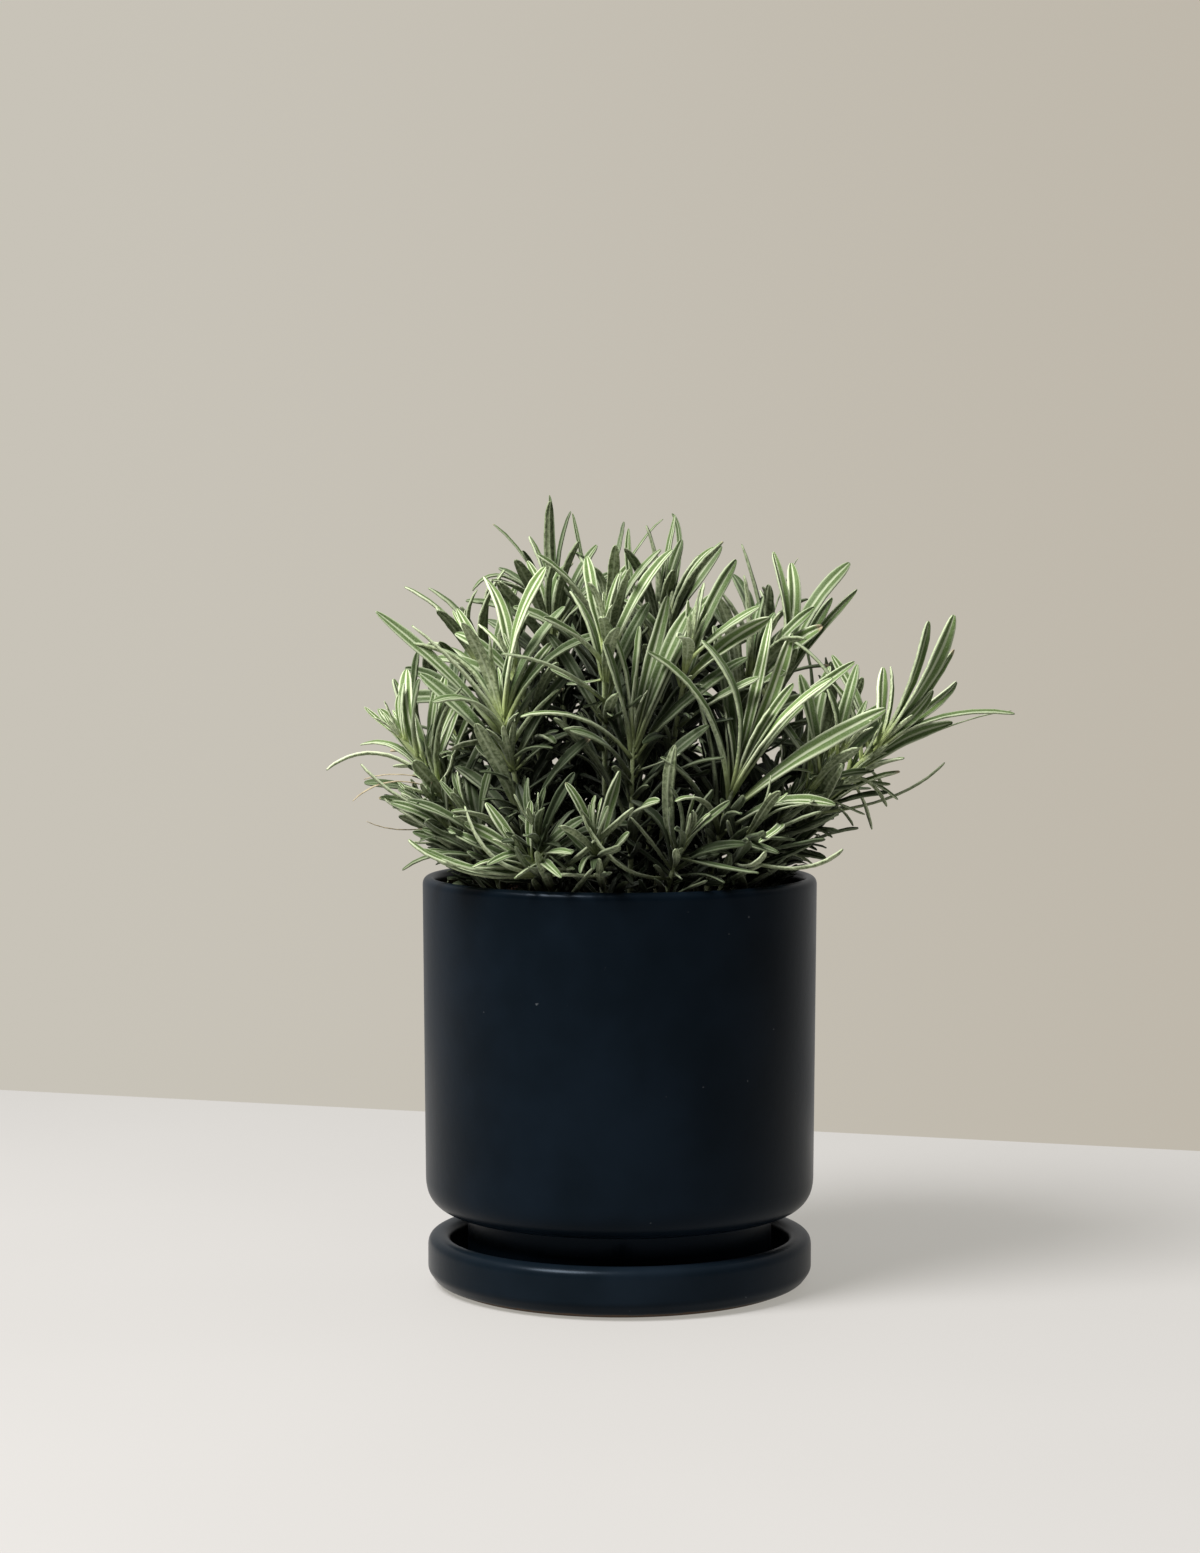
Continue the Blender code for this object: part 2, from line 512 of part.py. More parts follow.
def pot_guard():
    """The space of the pot and its soil, as a shell that no leaf may cross."""
    outer = POT_RADIUS + LEAF_CLEARANCE
    inner = POT_RADIUS - POT_WALL - LEAF_CLEARANCE
    top = RIM_TOP + LEAF_CLEARANCE
    outline = [(outer, BODY_BOTTOM), (outer, top), (inner, top), (inner, STEM_START),
               (0.0001, STEM_START)]
    below = Vector((0, 0, -FIT_GAP))
    guards = []
    for step in range(ROUND_STEPS):
        left, right = (math.tau * (step + side) / ROUND_STEPS for side in (0, 1))
        for low, high in zip(outline, outline[1:]):
            corner_places = ((low, left), (low, right), (high, right), (high, left))
            quad = [Vector((r * math.cos(a), r * math.sin(a), z)) for (r, z), a in corner_places]
            guards.append(Shell([quad, [point + below for point in quad]]))
    return guards


def in_crown(point):
    """True for a point inside the dome of foliage."""
    across = point.x - CROWN_CENTRE_X
    height = point.z - RIM_TOP
    radius = math.hypot(across, point.y)
    dome = (radius / CROWN_RADIUS) ** 2 + (height / CROWN_HEIGHT) ** 2
    return dome < 1 and radius < CROWN_NECK + CROWN_FLARE * max(height, 0.0)


def tries(seed):
    """Small changes of direction and length, none first and then wider and wider."""
    chance = random.Random(seed)
    for attempt in range(LEAF_TRIES):
        reach = min(attempt, 1) * (5.0 + 1.6 * attempt)
        turn = chance.uniform(-1, 1) * reach
        tilt = chance.uniform(-1, 1) * reach * 0.6
        yield math.radians(turn), math.radians(tilt), 1.0 - 0.012 * attempt


def facing_sides(stem, down, first, second):
    """The two opposite sides of the stem that best face two leaves."""
    _, _, side_a, side_b, _ = stem.place(down)
    normals = (-side_b, side_a, side_b, -side_a)

    def fit(side):
        return normals[side].dot(first.normalized()) - normals[side].dot(second.normalized())

    best = max(range(4), key=fit)
    return best, (best + 2) % 4


def grow_leaf(thicket, shoot, down, side, reach, width, bow, roll, seed, bounded):
    """The leaf nearest to the wanted one that is clear of everything, or None."""
    up = shoot.stem.place(down)[1]
    for turn, tilt, scale in tries(seed):
        bent = reach.copy()
        bent.rotate(Quaternion(up, turn))
        bent.rotate(Quaternion(bent.cross(up).normalized(), tilt))
        leaf = Leaf(shoot.stem, down, side, bent * scale, width, bow, roll)
        if bounded and not (in_crown(leaf.ends[2]) and in_crown(leaf.ends[1])):
            continue
        if leaf.out.dot(bent) > 0 and thicket.leaf_free(shoot, leaf):
            thicket.add_leaf(shoot, leaf)
            return leaf
    return None


def grow_listed(thicket, shoot):
    """Place a main shoot's own leaf pairs."""
    for index, (down, *pair) in enumerate(shoot.listed):
        reaches = [Vector(leaf[:3]) * LEAF_SCALE for leaf in pair]
        sides = facing_sides(shoot.stem, down, *reaches)
        placed = {}
        for side, reach, (_, _, _, width, bow) in zip(sides, reaches, pair):
            seed = f"{shoot.name} {index} {side}"
            leaf = grow_leaf(thicket, shoot, down, side, reach, width * LEAF_SCALE, bow, 0.0,
                             seed, False)
            if leaf:
                placed[side] = leaf
        shoot.levels.append((down, placed))


def grow_rule_pair(thicket, shoot, level):
    """Place one leaf pair by rule: pairs cross each other, and lower ones spread wider."""
    chance = random.Random(f"{shoot.name} pair {level}")
    if shoot.listed:
        first_down = shoot.listed[-1][0] + MAIN_PAIR_START
        pitch = MAIN_PAIR_PITCH
        age = min(level + 3, len(RULE_LENGTHS) - 1)
    else:
        first_down = FIRST_PAIR
        pitch = FILL_PAIR_PITCH
        age = level
    down = first_down + pitch * level + PAIR_STRETCH * level ** 2
    size = LEAF_SCALE * shoot.leaf_size
    if down > shoot.stem.length - LOWEST_PAIR:
        return
    along = shoot.stem.place(down)[1]
    placed = {}
    for side in (level % 2, level % 2 + 2):
        normal = Leaf(shoot.stem, down, side, along, 0.001, 0, 0).out
        spread = math.radians(RULE_SPREADS[age] + chance.uniform(-6, 6))
        length = RULE_LENGTHS[age] * size * chance.uniform(0.85, 1.12)
        width = RULE_WIDTHS[age] * math.sqrt(size) * chance.uniform(0.85, 1.15)
        reach = (along * math.cos(spread) + normal * math.sin(spread)) * length
        bow = chance.uniform(0.02, 0.10)
        roll = math.radians(chance.uniform(-50, 50))
        seed = f"{shoot.name} rule {level} {side}"
        leaf = grow_leaf(thicket, shoot, down, side, reach, width, bow, roll, seed, True)
        if leaf:
            placed[side] = leaf
    if placed:
        shoot.levels.append((down, placed))


def on_circle(bearing, inset):
    """A root's place on the soil."""
    radius = max(SOIL_EDGE - ROOT_MARGIN - inset, 0.0)
    angle = math.radians(bearing)
    return Vector((radius * math.cos(angle), radius * math.sin(angle), SOIL_TOP))


def plant_main(thicket):
    """The shoots that can be told apart."""
    shoots = []
    for name, (bearing, inset), tip, listed in MAIN_SHOOTS:
        root = on_circle(bearing, inset)
        stem = Stem(root, root + Vector(tip), bearing)
        shoot = Shoot(name, stem, listed, MAIN_RULE_PAIRS, 1.0)
        thicket.add_stem(shoot)
        shoots.append(shoot)
    return shoots


def plant_ring(thicket, name, count, inset, first, sweep, lean, length, pairs, leaf_size):
    """A ring of shoots, each turned on from its even place until its stem is clear."""
    shoots = []
    for index in range(count):
        chance = random.Random(f"{name} {index}")
        steep = math.radians(lean + chance.uniform(-4, 4))
        reach = length * chance.uniform(0.86, 1.10)
        depth = inset + chance.uniform(-0.003, 0.003)
        side_lean = math.radians(chance.uniform(-14, 14))
        for attempt in range(int(360 / FILL_TURN_TRY)):
            step = (attempt + 1) // 2 * (1 if attempt % 2 else -1)
            bearing = first + sweep * index / count + FILL_TURN_TRY * step
            root = on_circle(bearing, depth)
            heading = math.radians(bearing) + side_lean
            tip = root + Vector((reach * math.sin(steep) * math.cos(heading),
                                 reach * math.sin(steep) * math.sin(heading),
                                 reach * math.cos(steep)))
            stem = Stem(root, tip, bearing + 45)
            if thicket.stem_free(stem):
                break
        shoot = Shoot(f"{name}_{index + 1}", stem, [], pairs, leaf_size)
        thicket.add_stem(shoot)
        shoots.append(shoot)
    return shoots


def grow_plant():
    """All the shoots with their leaves: the main ones first, then the others from the top."""
    thicket = Thicket(pot_guard())
    shoots = plant_main(thicket)
    for ring in FILL_RINGS:
        shoots += plant_ring(thicket, *ring)
    for shoot in shoots:
        grow_listed(thicket, shoot)
    for level in range(len(RULE_LENGTHS)):
        for shoot in shoots:
            if level < shoot.rule_pairs:
                grow_rule_pair(thicket, shoot, level)
    return shoots


# ---- shoot meshes ------------------------------------------------------------------------
def add_ring(bm, ring):
    return [bm.verts.new(point) for point in ring]


def add_leaf(bm, base, leaf):
    """Grow a leaf's faces out of the four corners of its base."""
    previous = base
    for t, share in leaf.stations:
        ring = add_ring(bm, leaf.ring(t, share))
        for face in ring_faces(previous, ring):
            bm.faces.new(face)
        previous = ring
    tip = bm.verts.new(leaf.ends[2])
    for k in range(4):
        bm.faces.new((previous[k], previous[(k + 1) % 4], tip))


def make_shoot(shoot, material):
    """One closed body: the square stem with each leaf growing out of one of its sides."""
    bm = bmesh.new()
    stem = shoot.stem
    rings = [add_ring(bm, ring) for ring in stem.planted_rings()]
    bm.faces.new(reversed(rings[0]))
    spans = [(rings[0], rings[1], {})]
    previous, previous_down = rings[1], stem.length
    for down, leaves in sorted(shoot.levels, key=lambda level: -level[0]):
        low_down = down + NODE_HEIGHT / 2
        bare = math.ceil((previous_down - low_down) / STEM_RING_PITCH)
        for step in range(1, bare + 1):
            ring_down = previous_down + (low_down - previous_down) * step / bare
            ring = add_ring(bm, stem.ring(ring_down))
            spans.append((previous, ring, {}))
            previous = ring
        upper = add_ring(bm, stem.ring(down - NODE_HEIGHT / 2))
        spans.append((previous, upper, leaves))
        previous, previous_down = upper, down - NODE_HEIGHT / 2
    for low, high, leaves in spans:
        for side in range(4):
            face = (low[side], low[(side + 1) % 4], high[(side + 1) % 4], high[side])
            if side in leaves:
                add_leaf(bm, face, leaves[side])
            else:
                bm.faces.new(face)
    bud = bm.verts.new(stem.ends[2] + curve_direction(stem.ends, 1.0) * BUD_LENGTH)
    for k in range(4):
        bm.faces.new((previous[k], previous[(k + 1) % 4], bud))
    return new_object(shoot.name, bm, material, 50)


# ---- materials and assembly --------------------------------------------------------------
def principled(name, colour, roughness, metallic=0.0):
    material = bpy.data.materials.new(name)
    material.use_nodes = True
    shader = material.node_tree.nodes["Principled BSDF"]
    shader.inputs["Base Color"].default_value = (*colour, 1.0)
    shader.inputs["Roughness"].default_value = roughness
    shader.inputs["Metallic"].default_value = metallic
    material.diffuse_color = (*colour, 1.0)
    return material


def main():
    for item in list(bpy.data.objects):
        bpy.data.objects.remove(item, do_unlink=True)
    shoots = grow_plant()
    make_saucer(principled("saucer_glaze", (0.020, 0.025, 0.033), 0.48))
    make_pot(principled("pot_glaze", (0.018, 0.023, 0.031), 0.45))
    make_soil([shoot.stem for shoot in shoots], principled("soil", (0.030, 0.021, 0.015), 0.95))
    for index, shoot in enumerate(shoots):
        shade = 1.0 - 0.015 * index
        leaf = (0.200 * shade, 0.262 * shade, 0.150 * shade)
        make_shoot(shoot, principled(shoot.name + "_leaf", leaf, 0.70))


main()
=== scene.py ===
"""The looks of the potted lavender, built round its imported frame.

Metres, +Z up, -Y is the front.  Each leafy shoot's fine mesh is swept along the stem and
the leaves of its own CAD node, and the pot, the saucer and the soil are turned finely from
the outlines of theirs.  Only small leaves, a few single ones and the crumbs are added.
"""
import math
import random

import bmesh
import bpy
import numpy as np
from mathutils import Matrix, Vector, noise
from mathutils.bvhtree import BVHTree
from numpy.linalg import norm


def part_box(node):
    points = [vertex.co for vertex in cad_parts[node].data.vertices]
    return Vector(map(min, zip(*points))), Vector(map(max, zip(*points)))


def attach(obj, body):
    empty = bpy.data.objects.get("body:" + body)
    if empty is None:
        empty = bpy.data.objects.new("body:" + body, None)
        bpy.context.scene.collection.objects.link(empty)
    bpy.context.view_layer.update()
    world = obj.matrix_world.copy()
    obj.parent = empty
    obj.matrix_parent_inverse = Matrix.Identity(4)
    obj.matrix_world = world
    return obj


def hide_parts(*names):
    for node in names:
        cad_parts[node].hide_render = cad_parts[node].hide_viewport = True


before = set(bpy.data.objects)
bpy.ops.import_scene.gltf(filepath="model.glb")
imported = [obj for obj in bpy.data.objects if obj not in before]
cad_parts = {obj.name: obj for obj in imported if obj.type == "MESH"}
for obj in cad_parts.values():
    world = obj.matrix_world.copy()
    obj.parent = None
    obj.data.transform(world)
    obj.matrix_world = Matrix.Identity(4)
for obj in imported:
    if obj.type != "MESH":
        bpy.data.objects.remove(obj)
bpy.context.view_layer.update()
rim_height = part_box("pot")[1].z
rim_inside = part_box("soil")[1].x

WELD = 0.00002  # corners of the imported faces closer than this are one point
UPRIGHT = np.array([0, 0, 1.0])

# ---- camera, floor and light ----
CAMERA_PLACE = (0.0, -1.263, 0.267)
CAMERA_TILT = 86.68  # degrees from straight down
CAMERA_TURN = 0.34
CAMERA_LENS = 77.1  # mm, on a sensor of 36 mm along the long side

FLOOR_REACH = 4.0  # half the floor's width
FLOOR_BACK_CENTRE = 0.378  # where the floor's back edge crosses x = 0
FLOOR_BACK_SLOPE = -0.31  # how fast that edge comes forward to the right
FLOOR_GLOW = 0.38  # light that the floor gives of itself, so shadows stay pale
TOP_LIGHT = 0.30  # brightness of the surroundings straight up
BACK_LIGHT = 0.46  # and behind
LIGHT_COLOUR = (1.0, 0.99, 0.97, 1.0)
WALL_LEFT = (200, 195, 184)  # the wall behind, in display values of 0 to 255
WALL_RIGHT = (190, 183, 170)
KEY_PLACE = (-0.95, -0.85, 1.75)  # the large lamp at the upper left
KEY_TARGET = (0.0, 0.0, 0.15)
KEY_SIZE = 1.0
KEY_POWER = 104  # watts
KEY_COLOUR = (1.0, 0.985, 0.96)

# ---- a leaf ----
# Shares of a leaf's length where its cross-sections stand.
LEAF_STATIONS = (0.0, 0.04, 0.10, 0.18, 0.27, 0.36, 0.45, 0.54, 0.63, 0.72, 0.80, 0.87,
                 0.925, 0.965, 0.99)
LEAFLET_STATIONS = (0.0, 0.08, 0.20, 0.35, 0.50, 0.65, 0.78, 0.88, 0.95, 0.985)
# Half of the cross-section, from the margin to the middle: (across as a share of half the
# width, up as a share of the thickness).  The upper side is grooved along its middle, the
# margins roll under, and a rib stands out below.
UPPER_HALF = ((1.00, 0.00), (0.95, 0.34), (0.80, 0.60), (0.50, 0.50), (0.17, 0.30),
              (0.00, 0.04))
LOWER_HALF = ((0.95, -0.38), (0.80, -0.52), (0.62, -0.24), (0.28, -0.10), (0.11, -0.42))
SMALL_UPPER_HALF = ((1.00, 0.00), (0.82, 0.55), (0.35, 0.42), (0.00, 0.06))
SMALL_LOWER_HALF = ((0.78, -0.48), (0.30, -0.12), (0.00, -0.40))
MARGIN_TOP = 0.6  # how much the margins' points belong to the upper side
LEAF_THICKNESS = 0.00110
THINNEST = 0.26  # narrow leaves are this thick for their width
WIDEST = 0.58  # share of the length where a leaf is widest
BASE_WIDTH = 0.42  # width at the base, as a share of the widest
WIDTH_WAVE = (0.05, 17)  # how much the width varies, and radians of that along a leaf
RUFFLE = (0.00012, 41)  # the same for the margins' height
FOLD_OPENS = 0.6  # how much of its fold a leaf loses towards the tip
LEAF_SUNK = 0.0006  # how deep a leaf's base point is in the stem
BEND_STARTS = 0.38  # share of the length from where a leaf droops
BEND_GAIN = 2.6
WEAVE_TURN = 5.0  # radians of sideways sway along a leaf
WEAVING = 0.022  # how far leaves sway sideways, for their length
SMALL_WEAVING = 0.06  # and small ones
UNCERTAIN = 0.05  # a way shorter than this says nothing about a direction
SLOPE_STEP = 0.01  # step to each side for a curve's direction

# ---- a stem ----
STEM_SIDES = 12
STEM_STEP = 0.0022  # between a stem's cross-sections
STEM_END = 0.985  # share of the length where the last cross-section stands
STEM_POINT = 14  # how suddenly the stem ends in its tip
NODE_SWELL = 0.16  # how much thicker a stem is where leaves leave it
NODE_REACH = 0.0018

# ---- a shoot's own leaves ----
LEAF_SPREAD = 1.08  # the fine leaves' width for each width of the CAD's
STOUTEST = 0.16  # widest a leaf may be for its length
DROOPING_SHARE = 0.35  # leaves that bend over strongly
STRONG_DROOP = (0.08, 0.22)
SLIGHT_DROOP = (-0.04, 0.07)
FOLDS = (0.10, 0.25, 0.45, 0.75)  # radians between a flat leaf and each of its halves
DRY_TIP_SHARE = 0.06
DRY_TIPS = (0.04, 0.10)  # share of the length that is withered
TURN_TO_FRONT = (-0.2, 0.85)  # how far leaves turn their upper sides to the front
FRONT_PAINTED_SHADE = 0.04  # painted shade of the front shoots' leaves, from 0 to 1
BACK_PAINTED_SHADE = 0.72  # how much more painted shade they get at the back
FRONT_TO_BACK = (-0.035, 0.045)  # where a stem's middle stands for each
LOW_SHOOT_AGE_AND_SHADE = (0.25, 0.65)  # how much darker the low shoots are near the soil, from age and painted shade
AGE_DOWN_STEM = 9.0  # and for each metre down the stem
AGE_VARIES = 0.22
TONE_VARIES = 0.4

# ---- small leaves ----
CROWD_CELL = 0.003  # the places taken by leaflets are looked up in cells
RIM_ROOM = 0.0022  # air between small leaves and the pot's rim
TUFT_ROOM = 0.0007  # air kept round a tuft's leaflets
LOW_ROOM = 0.0006  # round those of the low stem
BUD_ROOM = 0.0002  # and round those of the bud
TUFTS_BELOW = 0.009  # how far below the shoot's tip the tufts start
TUFT_SIZES = (0.009, 0.024)
TUFT_WIDTHS = (0.0014, 0.0040)
TUFT_STOUT = 0.14  # a tuft leaf's width for its length
BUD_LEAVES = 6
BUD_TURN = 2.4  # radians from one to the next
AXIL_DEPTH = 0.0004  # from a leaf's base to its axil
STEM_SURFACE = 0.0006  # from the stem's middle to where low leaves start
LEAFY_SHARE = 0.80  # how far up a stem its small leaves go
LOW_START = 0.0050  # first small leaves of a stem, up from the soil
LOW_PITCH = 0.0046
LOW_TURN = 1.9  # radians from one level to the next
LOW_LENGTHS = (0.011, 0.027)
LOW_SPREADS = (25, 75)  # degrees off the stem
RIM_LENGTHS = (0.020, 0.034)
RIM_SPREADS = (40, 72)
RIM_LEAF_TOP = 0.175  # leaves that start below this and outside the next value
RIM_LEAF_ROOT = 0.040  # are the ones long enough to hang over the rim
SIDE_STARTS = -0.45  # how far forward a stem has to stand to hang its leaves out
SIDE_SIZE = 0.70  # and how small the leaves near the rim are elsewhere
SIDE_LENGTHS = (0.009, 0.017)
PAINTED_LIT_SHARE = 0.32  # of the small leaves that are painted as lit, paler; the rest are painted as shaded, darker
PAINTED_LIT_RANGE = (0.0, 0.25)
PAINTED_SHADED_RANGE = (0.7, 1.0)
INNER_PAINTED_SHADE = (0.030, 0.055)  # from the pot's axis: small leaves inside this get painted shade, darker

# Single leaves that show in front of the shoots or stand clear of them: base, the point that
# the leaf bends towards and tip (right, back and up from the middle of the pot's rim, in
# mm), width in mm, how dark it is from age and painted shade, and how dry.
LOOSE_LEAVES = [
    (((-25, 15, 112), (-26, 18, 134), (-27, 20, 145)), 1.9, 0.7, 0.04),
    (((-24, 18, 108), (-37, 22, 126), (-49, 25, 134)), 1.7, 0.7, 0.05),
    (((-9, 26, 108), (-14, 28, 128), (-19, 30, 138)), 1.7, 0.6, 0.04),
    (((-6, 24, 106), (1, 28, 127), (2, 30, 135)), 2.4, 0.8, 0.00),
    (((-3, 27, 104), (6, 32, 129), (17, 35, 136)), 1.8, 0.5, 0.00),
    (((31, 27, 112), (27, 32, 130), (20, 35, 138)), 2.2, 0.8, 0.00),
    (((54, 20, 98), (62, 22, 110), (69, 25, 121)), 1.5, 0.6, 0.05),
    (((-30, 6, 104), (-46, 5, 124), (-56, 4, 108)), 3.4, 0.6, 0.00),
    (((86, -10, 15), (108, -12, 27), (122, -15, 44)), 3.0, 0.6, 0.00),
    (((96, -5, 34), (128, -8, 61), (148, -8, 63)), 1.6, 0.4, 0.04),
    (((-66, -14, 34), (-86, -20, 42), (-100, -26, 30)), 1.2, 0.5, 1.20),
    (((-70, -8, 17), (-84, -15, 16), (-95, -20, 22)), 1.0, 0.5, 1.20),
    (((-74, -4, 36), (-88, -4, 40), (-97, -8, 37)), 1.0, 0.5, 1.20),
    (((-24, -54, 5), (-12, -70, 12), (5, -73, 31)), 4.0, 0.15, 0.00),
    (((15, -54, 5), (-2, -76, 4), (-11, -76, 24)), 3.6, 0.10, 0.00),
    (((17, -54, 8), (11, -66, 18), (4, -70, 27)), 2.6, 0.20, 0.00),
    (((19, -52, 12), (15, -62, 34), (20, -66, 53)), 4.8, 0.25, 0.00),
    (((34, -54, 18), (32, -68, 38), (20, -75, 33)), 3.8, 0.00, 0.00),
    (((66, -46, 12), (62, -70, 26), (50, -74, 18)), 3.6, 0.10, 0.00),
    (((-36, -50, 8), (-63, -60, 3), (-77, -58, 18)), 4.2, 0.20, 0.00),
    (((-30, -54, 5), (-50, -66, 6), (-56, -66, 31)), 4.4, 0.05, 0.00),
    (((46, -48, 7), (70, -60, 2), (81, -62, 15)), 3.6, 0.30, 0.00),
]

# ---- pot, saucer and soil ----
TURNED_STEPS = 144
POT_EASE = 0.0022  # how far each side of a corner its rounding reaches
SAUCER_EASE = 0.0014
SOIL_EASE = 0.0012
SHARP_EASE = 0.3  # and how much less at sharp corners
SHORTEST_EDGE = 0.00004
SOIL_STEPS = 96
SOIL_RINGS = 60
SOIL_ROUGHNESS = 0.0011
CRUMB_COUNT = 620
CRUMB_SIZES = (0.0005, 0.0017)
CRUMB_SIDES = 6
BARK_SHARE = 0.25
SOIL_CROWN = 0.0012  # how much lower the soil is at its edge
SAUCER_BARE = 0.0013  # height of the saucer's unglazed edge

# ---- painted foliage shade ----
CROWN_SIZE = (0.100, 0.098, 0.145)  # half axes of the dome of foliage over the pot's rim
CROWN_CENTRE = (0.005, 0.0, rim_height)
SHADE_STARTS = 0.56  # the painted dark inside, in shares of those axes
SHADE_ENDS = 0.90


def srgb(red, green, blue):
    """A linear colour from display values of 0 to 255."""
    linear = [(c / 255 / 12.92) if c <= 10 else ((c / 255 + 0.055) / 1.055) ** 2.4
              for c in (red, green, blue)]
    return (*linear, 1.0)


def smooth(value, low, high):
    """0 below low, 1 above high, and an even S between them."""
    share = np.clip((value - low) / (high - low), 0.0, 1.0)
    return share * share * (3 - 2 * share)


def unit(vectors):
    """The vectors, each made one long."""
    return vectors / np.maximum(norm(vectors, axis=-1, keepdims=True), 1e-12)


def path_length(points):
    return norm(np.diff(points, axis=0), axis=1).sum()


def shares_along(points):
    """How far along the path each of its points is, as a share of the whole."""
    steps = norm(np.diff(points, axis=0), axis=1)
    return np.concatenate([[0.0], np.cumsum(steps)]) / steps.sum()


def turned_about(vector, axis, angle):
    """A vector turned round an axis."""
    return (vector * math.cos(angle) + np.cross(axis, vector) * math.sin(angle)
            + axis * axis.dot(vector) * (1 - math.cos(angle)))


def bent(base, bend, tip):
    """The curve from base to tip that is drawn towards the point bend."""
    def curve(t):
        t = t[:, None]
        return base * (1 - t) ** 2 + bend * 2 * t * (1 - t) + tip * t ** 2

    return curve


def spline_through(points, share):
    """A smooth path through many points, at shares of its length."""
    knots = shares_along(points)
    slopes = np.gradient(points, knots, axis=0)
    index = np.clip(np.searchsorted(knots, share, side="right") - 1, 0, len(knots) - 2)
    width = (knots[index + 1] - knots[index])[:, None]
    t = ((share - knots[index])[:, None]) / width
    first = (2 * t**3 - 3 * t**2 + 1) * points[index]
    first_slope = (t**3 - 2 * t**2 + t) * width * slopes[index]
    second = (3 * t**2 - 2 * t**3) * points[index + 1]
    second_slope = (t**3 - t**2) * width * slopes[index + 1]
    return first + first_slope + second + second_slope


def curve_through(points):
    """Shares along the points, and a function that gives the smooth curve through them."""
    shares = shares_along(points)

    def curve(share):
        total = np.zeros((len(share), 3))
        for index, knot in enumerate(shares):
            weight = np.ones(len(share))
            for other_index, other in enumerate(shares):
                if other_index != index:
                    weight *= (share - other) / (knot - other)
            total += weight[:, None] * points[index]
        return total

    return shares, curve


# ---- reading the frame ----
def welded(node):
    """A CAD node's mesh as a bmesh whose faces share their corners."""
    bm = bmesh.new()
    bm.from_mesh(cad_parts[node].data)
    bmesh.ops.remove_doubles(bm, verts=bm.verts, dist=WELD)
    bm.verts.index_update()
    return bm


def beside(verts, *without):
    """The vertices joined to a group, apart from its own and those of the groups left out."""
    found = {edge.other_vert(vert) for vert in verts for edge in vert.link_edges}
    return sorted(found.difference(verts, *without), key=lambda vert: vert.index)


def middle(verts):
    """The mean of the vertices' places."""
    return np.mean([vert.co for vert in verts], axis=0)


def half_sides(verts):
    """Half of a rectangle's long side and half of its short side, as vectors."""
    first, *others = [np.array(vert.co) for vert in verts]
    others.sort(key=lambda place: norm(place - first))
    return (others[1] - first) / 2, (others[0] - first) / 2


def is_tip(vert):
    """True where four narrow faces meet in a point."""
    return sum(loop.calc_angle() for loop in vert.link_loops) < math.pi


class ReadShoot:
    """A CAD shoot taken apart: the rings of its stem from the soil up, and its leaves."""

    def __init__(self, node):
        bm = welded(node)
        tips = [vert for vert in bm.verts if is_tip(vert)]
        top_rings = {tip: beside([tip]) for tip in tips}
        bud = min(tips, key=lambda tip: self.stretch(top_rings[tip]))
        leaves = []
        leaf_verts = set()
        for tip in tips:
            if tip is not bud:
                stations = [top_rings[tip]]
                below = beside(stations[0], [tip])
                if len(beside(below, stations[0])) == 4:
                    stations.insert(0, below)
                    below = beside(below, stations[1])
                leaves.append((below, stations, tip))
                leaf_verts.update({tip}.union(*stations))
        rings = [top_rings[bud]]
        above = {bud}
        while True:
            ring = beside(rings[-1], above, leaf_verts)
            if not ring:
                break
            above = rings[-1]
            rings.append(ring)
        rings.reverse()
        self.stem = np.array([middle(ring) for ring in rings] + [bud.co])
        self.stem_half = np.array([norm(half_sides(ring)[0]) for ring in rings])
        self.stem_side = unit(half_sides(rings[-1])[0])
        self.leaves = [self.read_leaf(*leaf) for leaf in leaves]
        self.leaves.sort(key=lambda leaf: leaf["points"][0][2])
        bm.free()

    @staticmethod
    def stretch(ring):
        """How long a ring is for its width: the bud's is the squarest."""
        long_side, short_side = half_sides(ring)
        return norm(long_side) / norm(short_side)

    def read_leaf(self, base, stations, tip):
        """A leaf's middle points, width, ways and length."""
        points = np.array([middle(base)] + [middle(ring) for ring in stations] + [tip.co])
        width = max(2 * norm(half_sides(ring)[0]) for ring in stations)
        nearest = np.argmin(norm(self.stem - points[0], axis=1))
        low, high = max(nearest - 1, 0), min(nearest + 1, len(self.stem) - 1)
        up_stem = unit(self.stem[high] - self.stem[low])
        out = unit(points[0] - self.stem[nearest])
        return {"points": points, "width": width, "up_stem": up_stem, "out": out,
                "rise": unit(half_sides(stations[-1])[1]),
                "length": norm(points[-1] - points[0])}


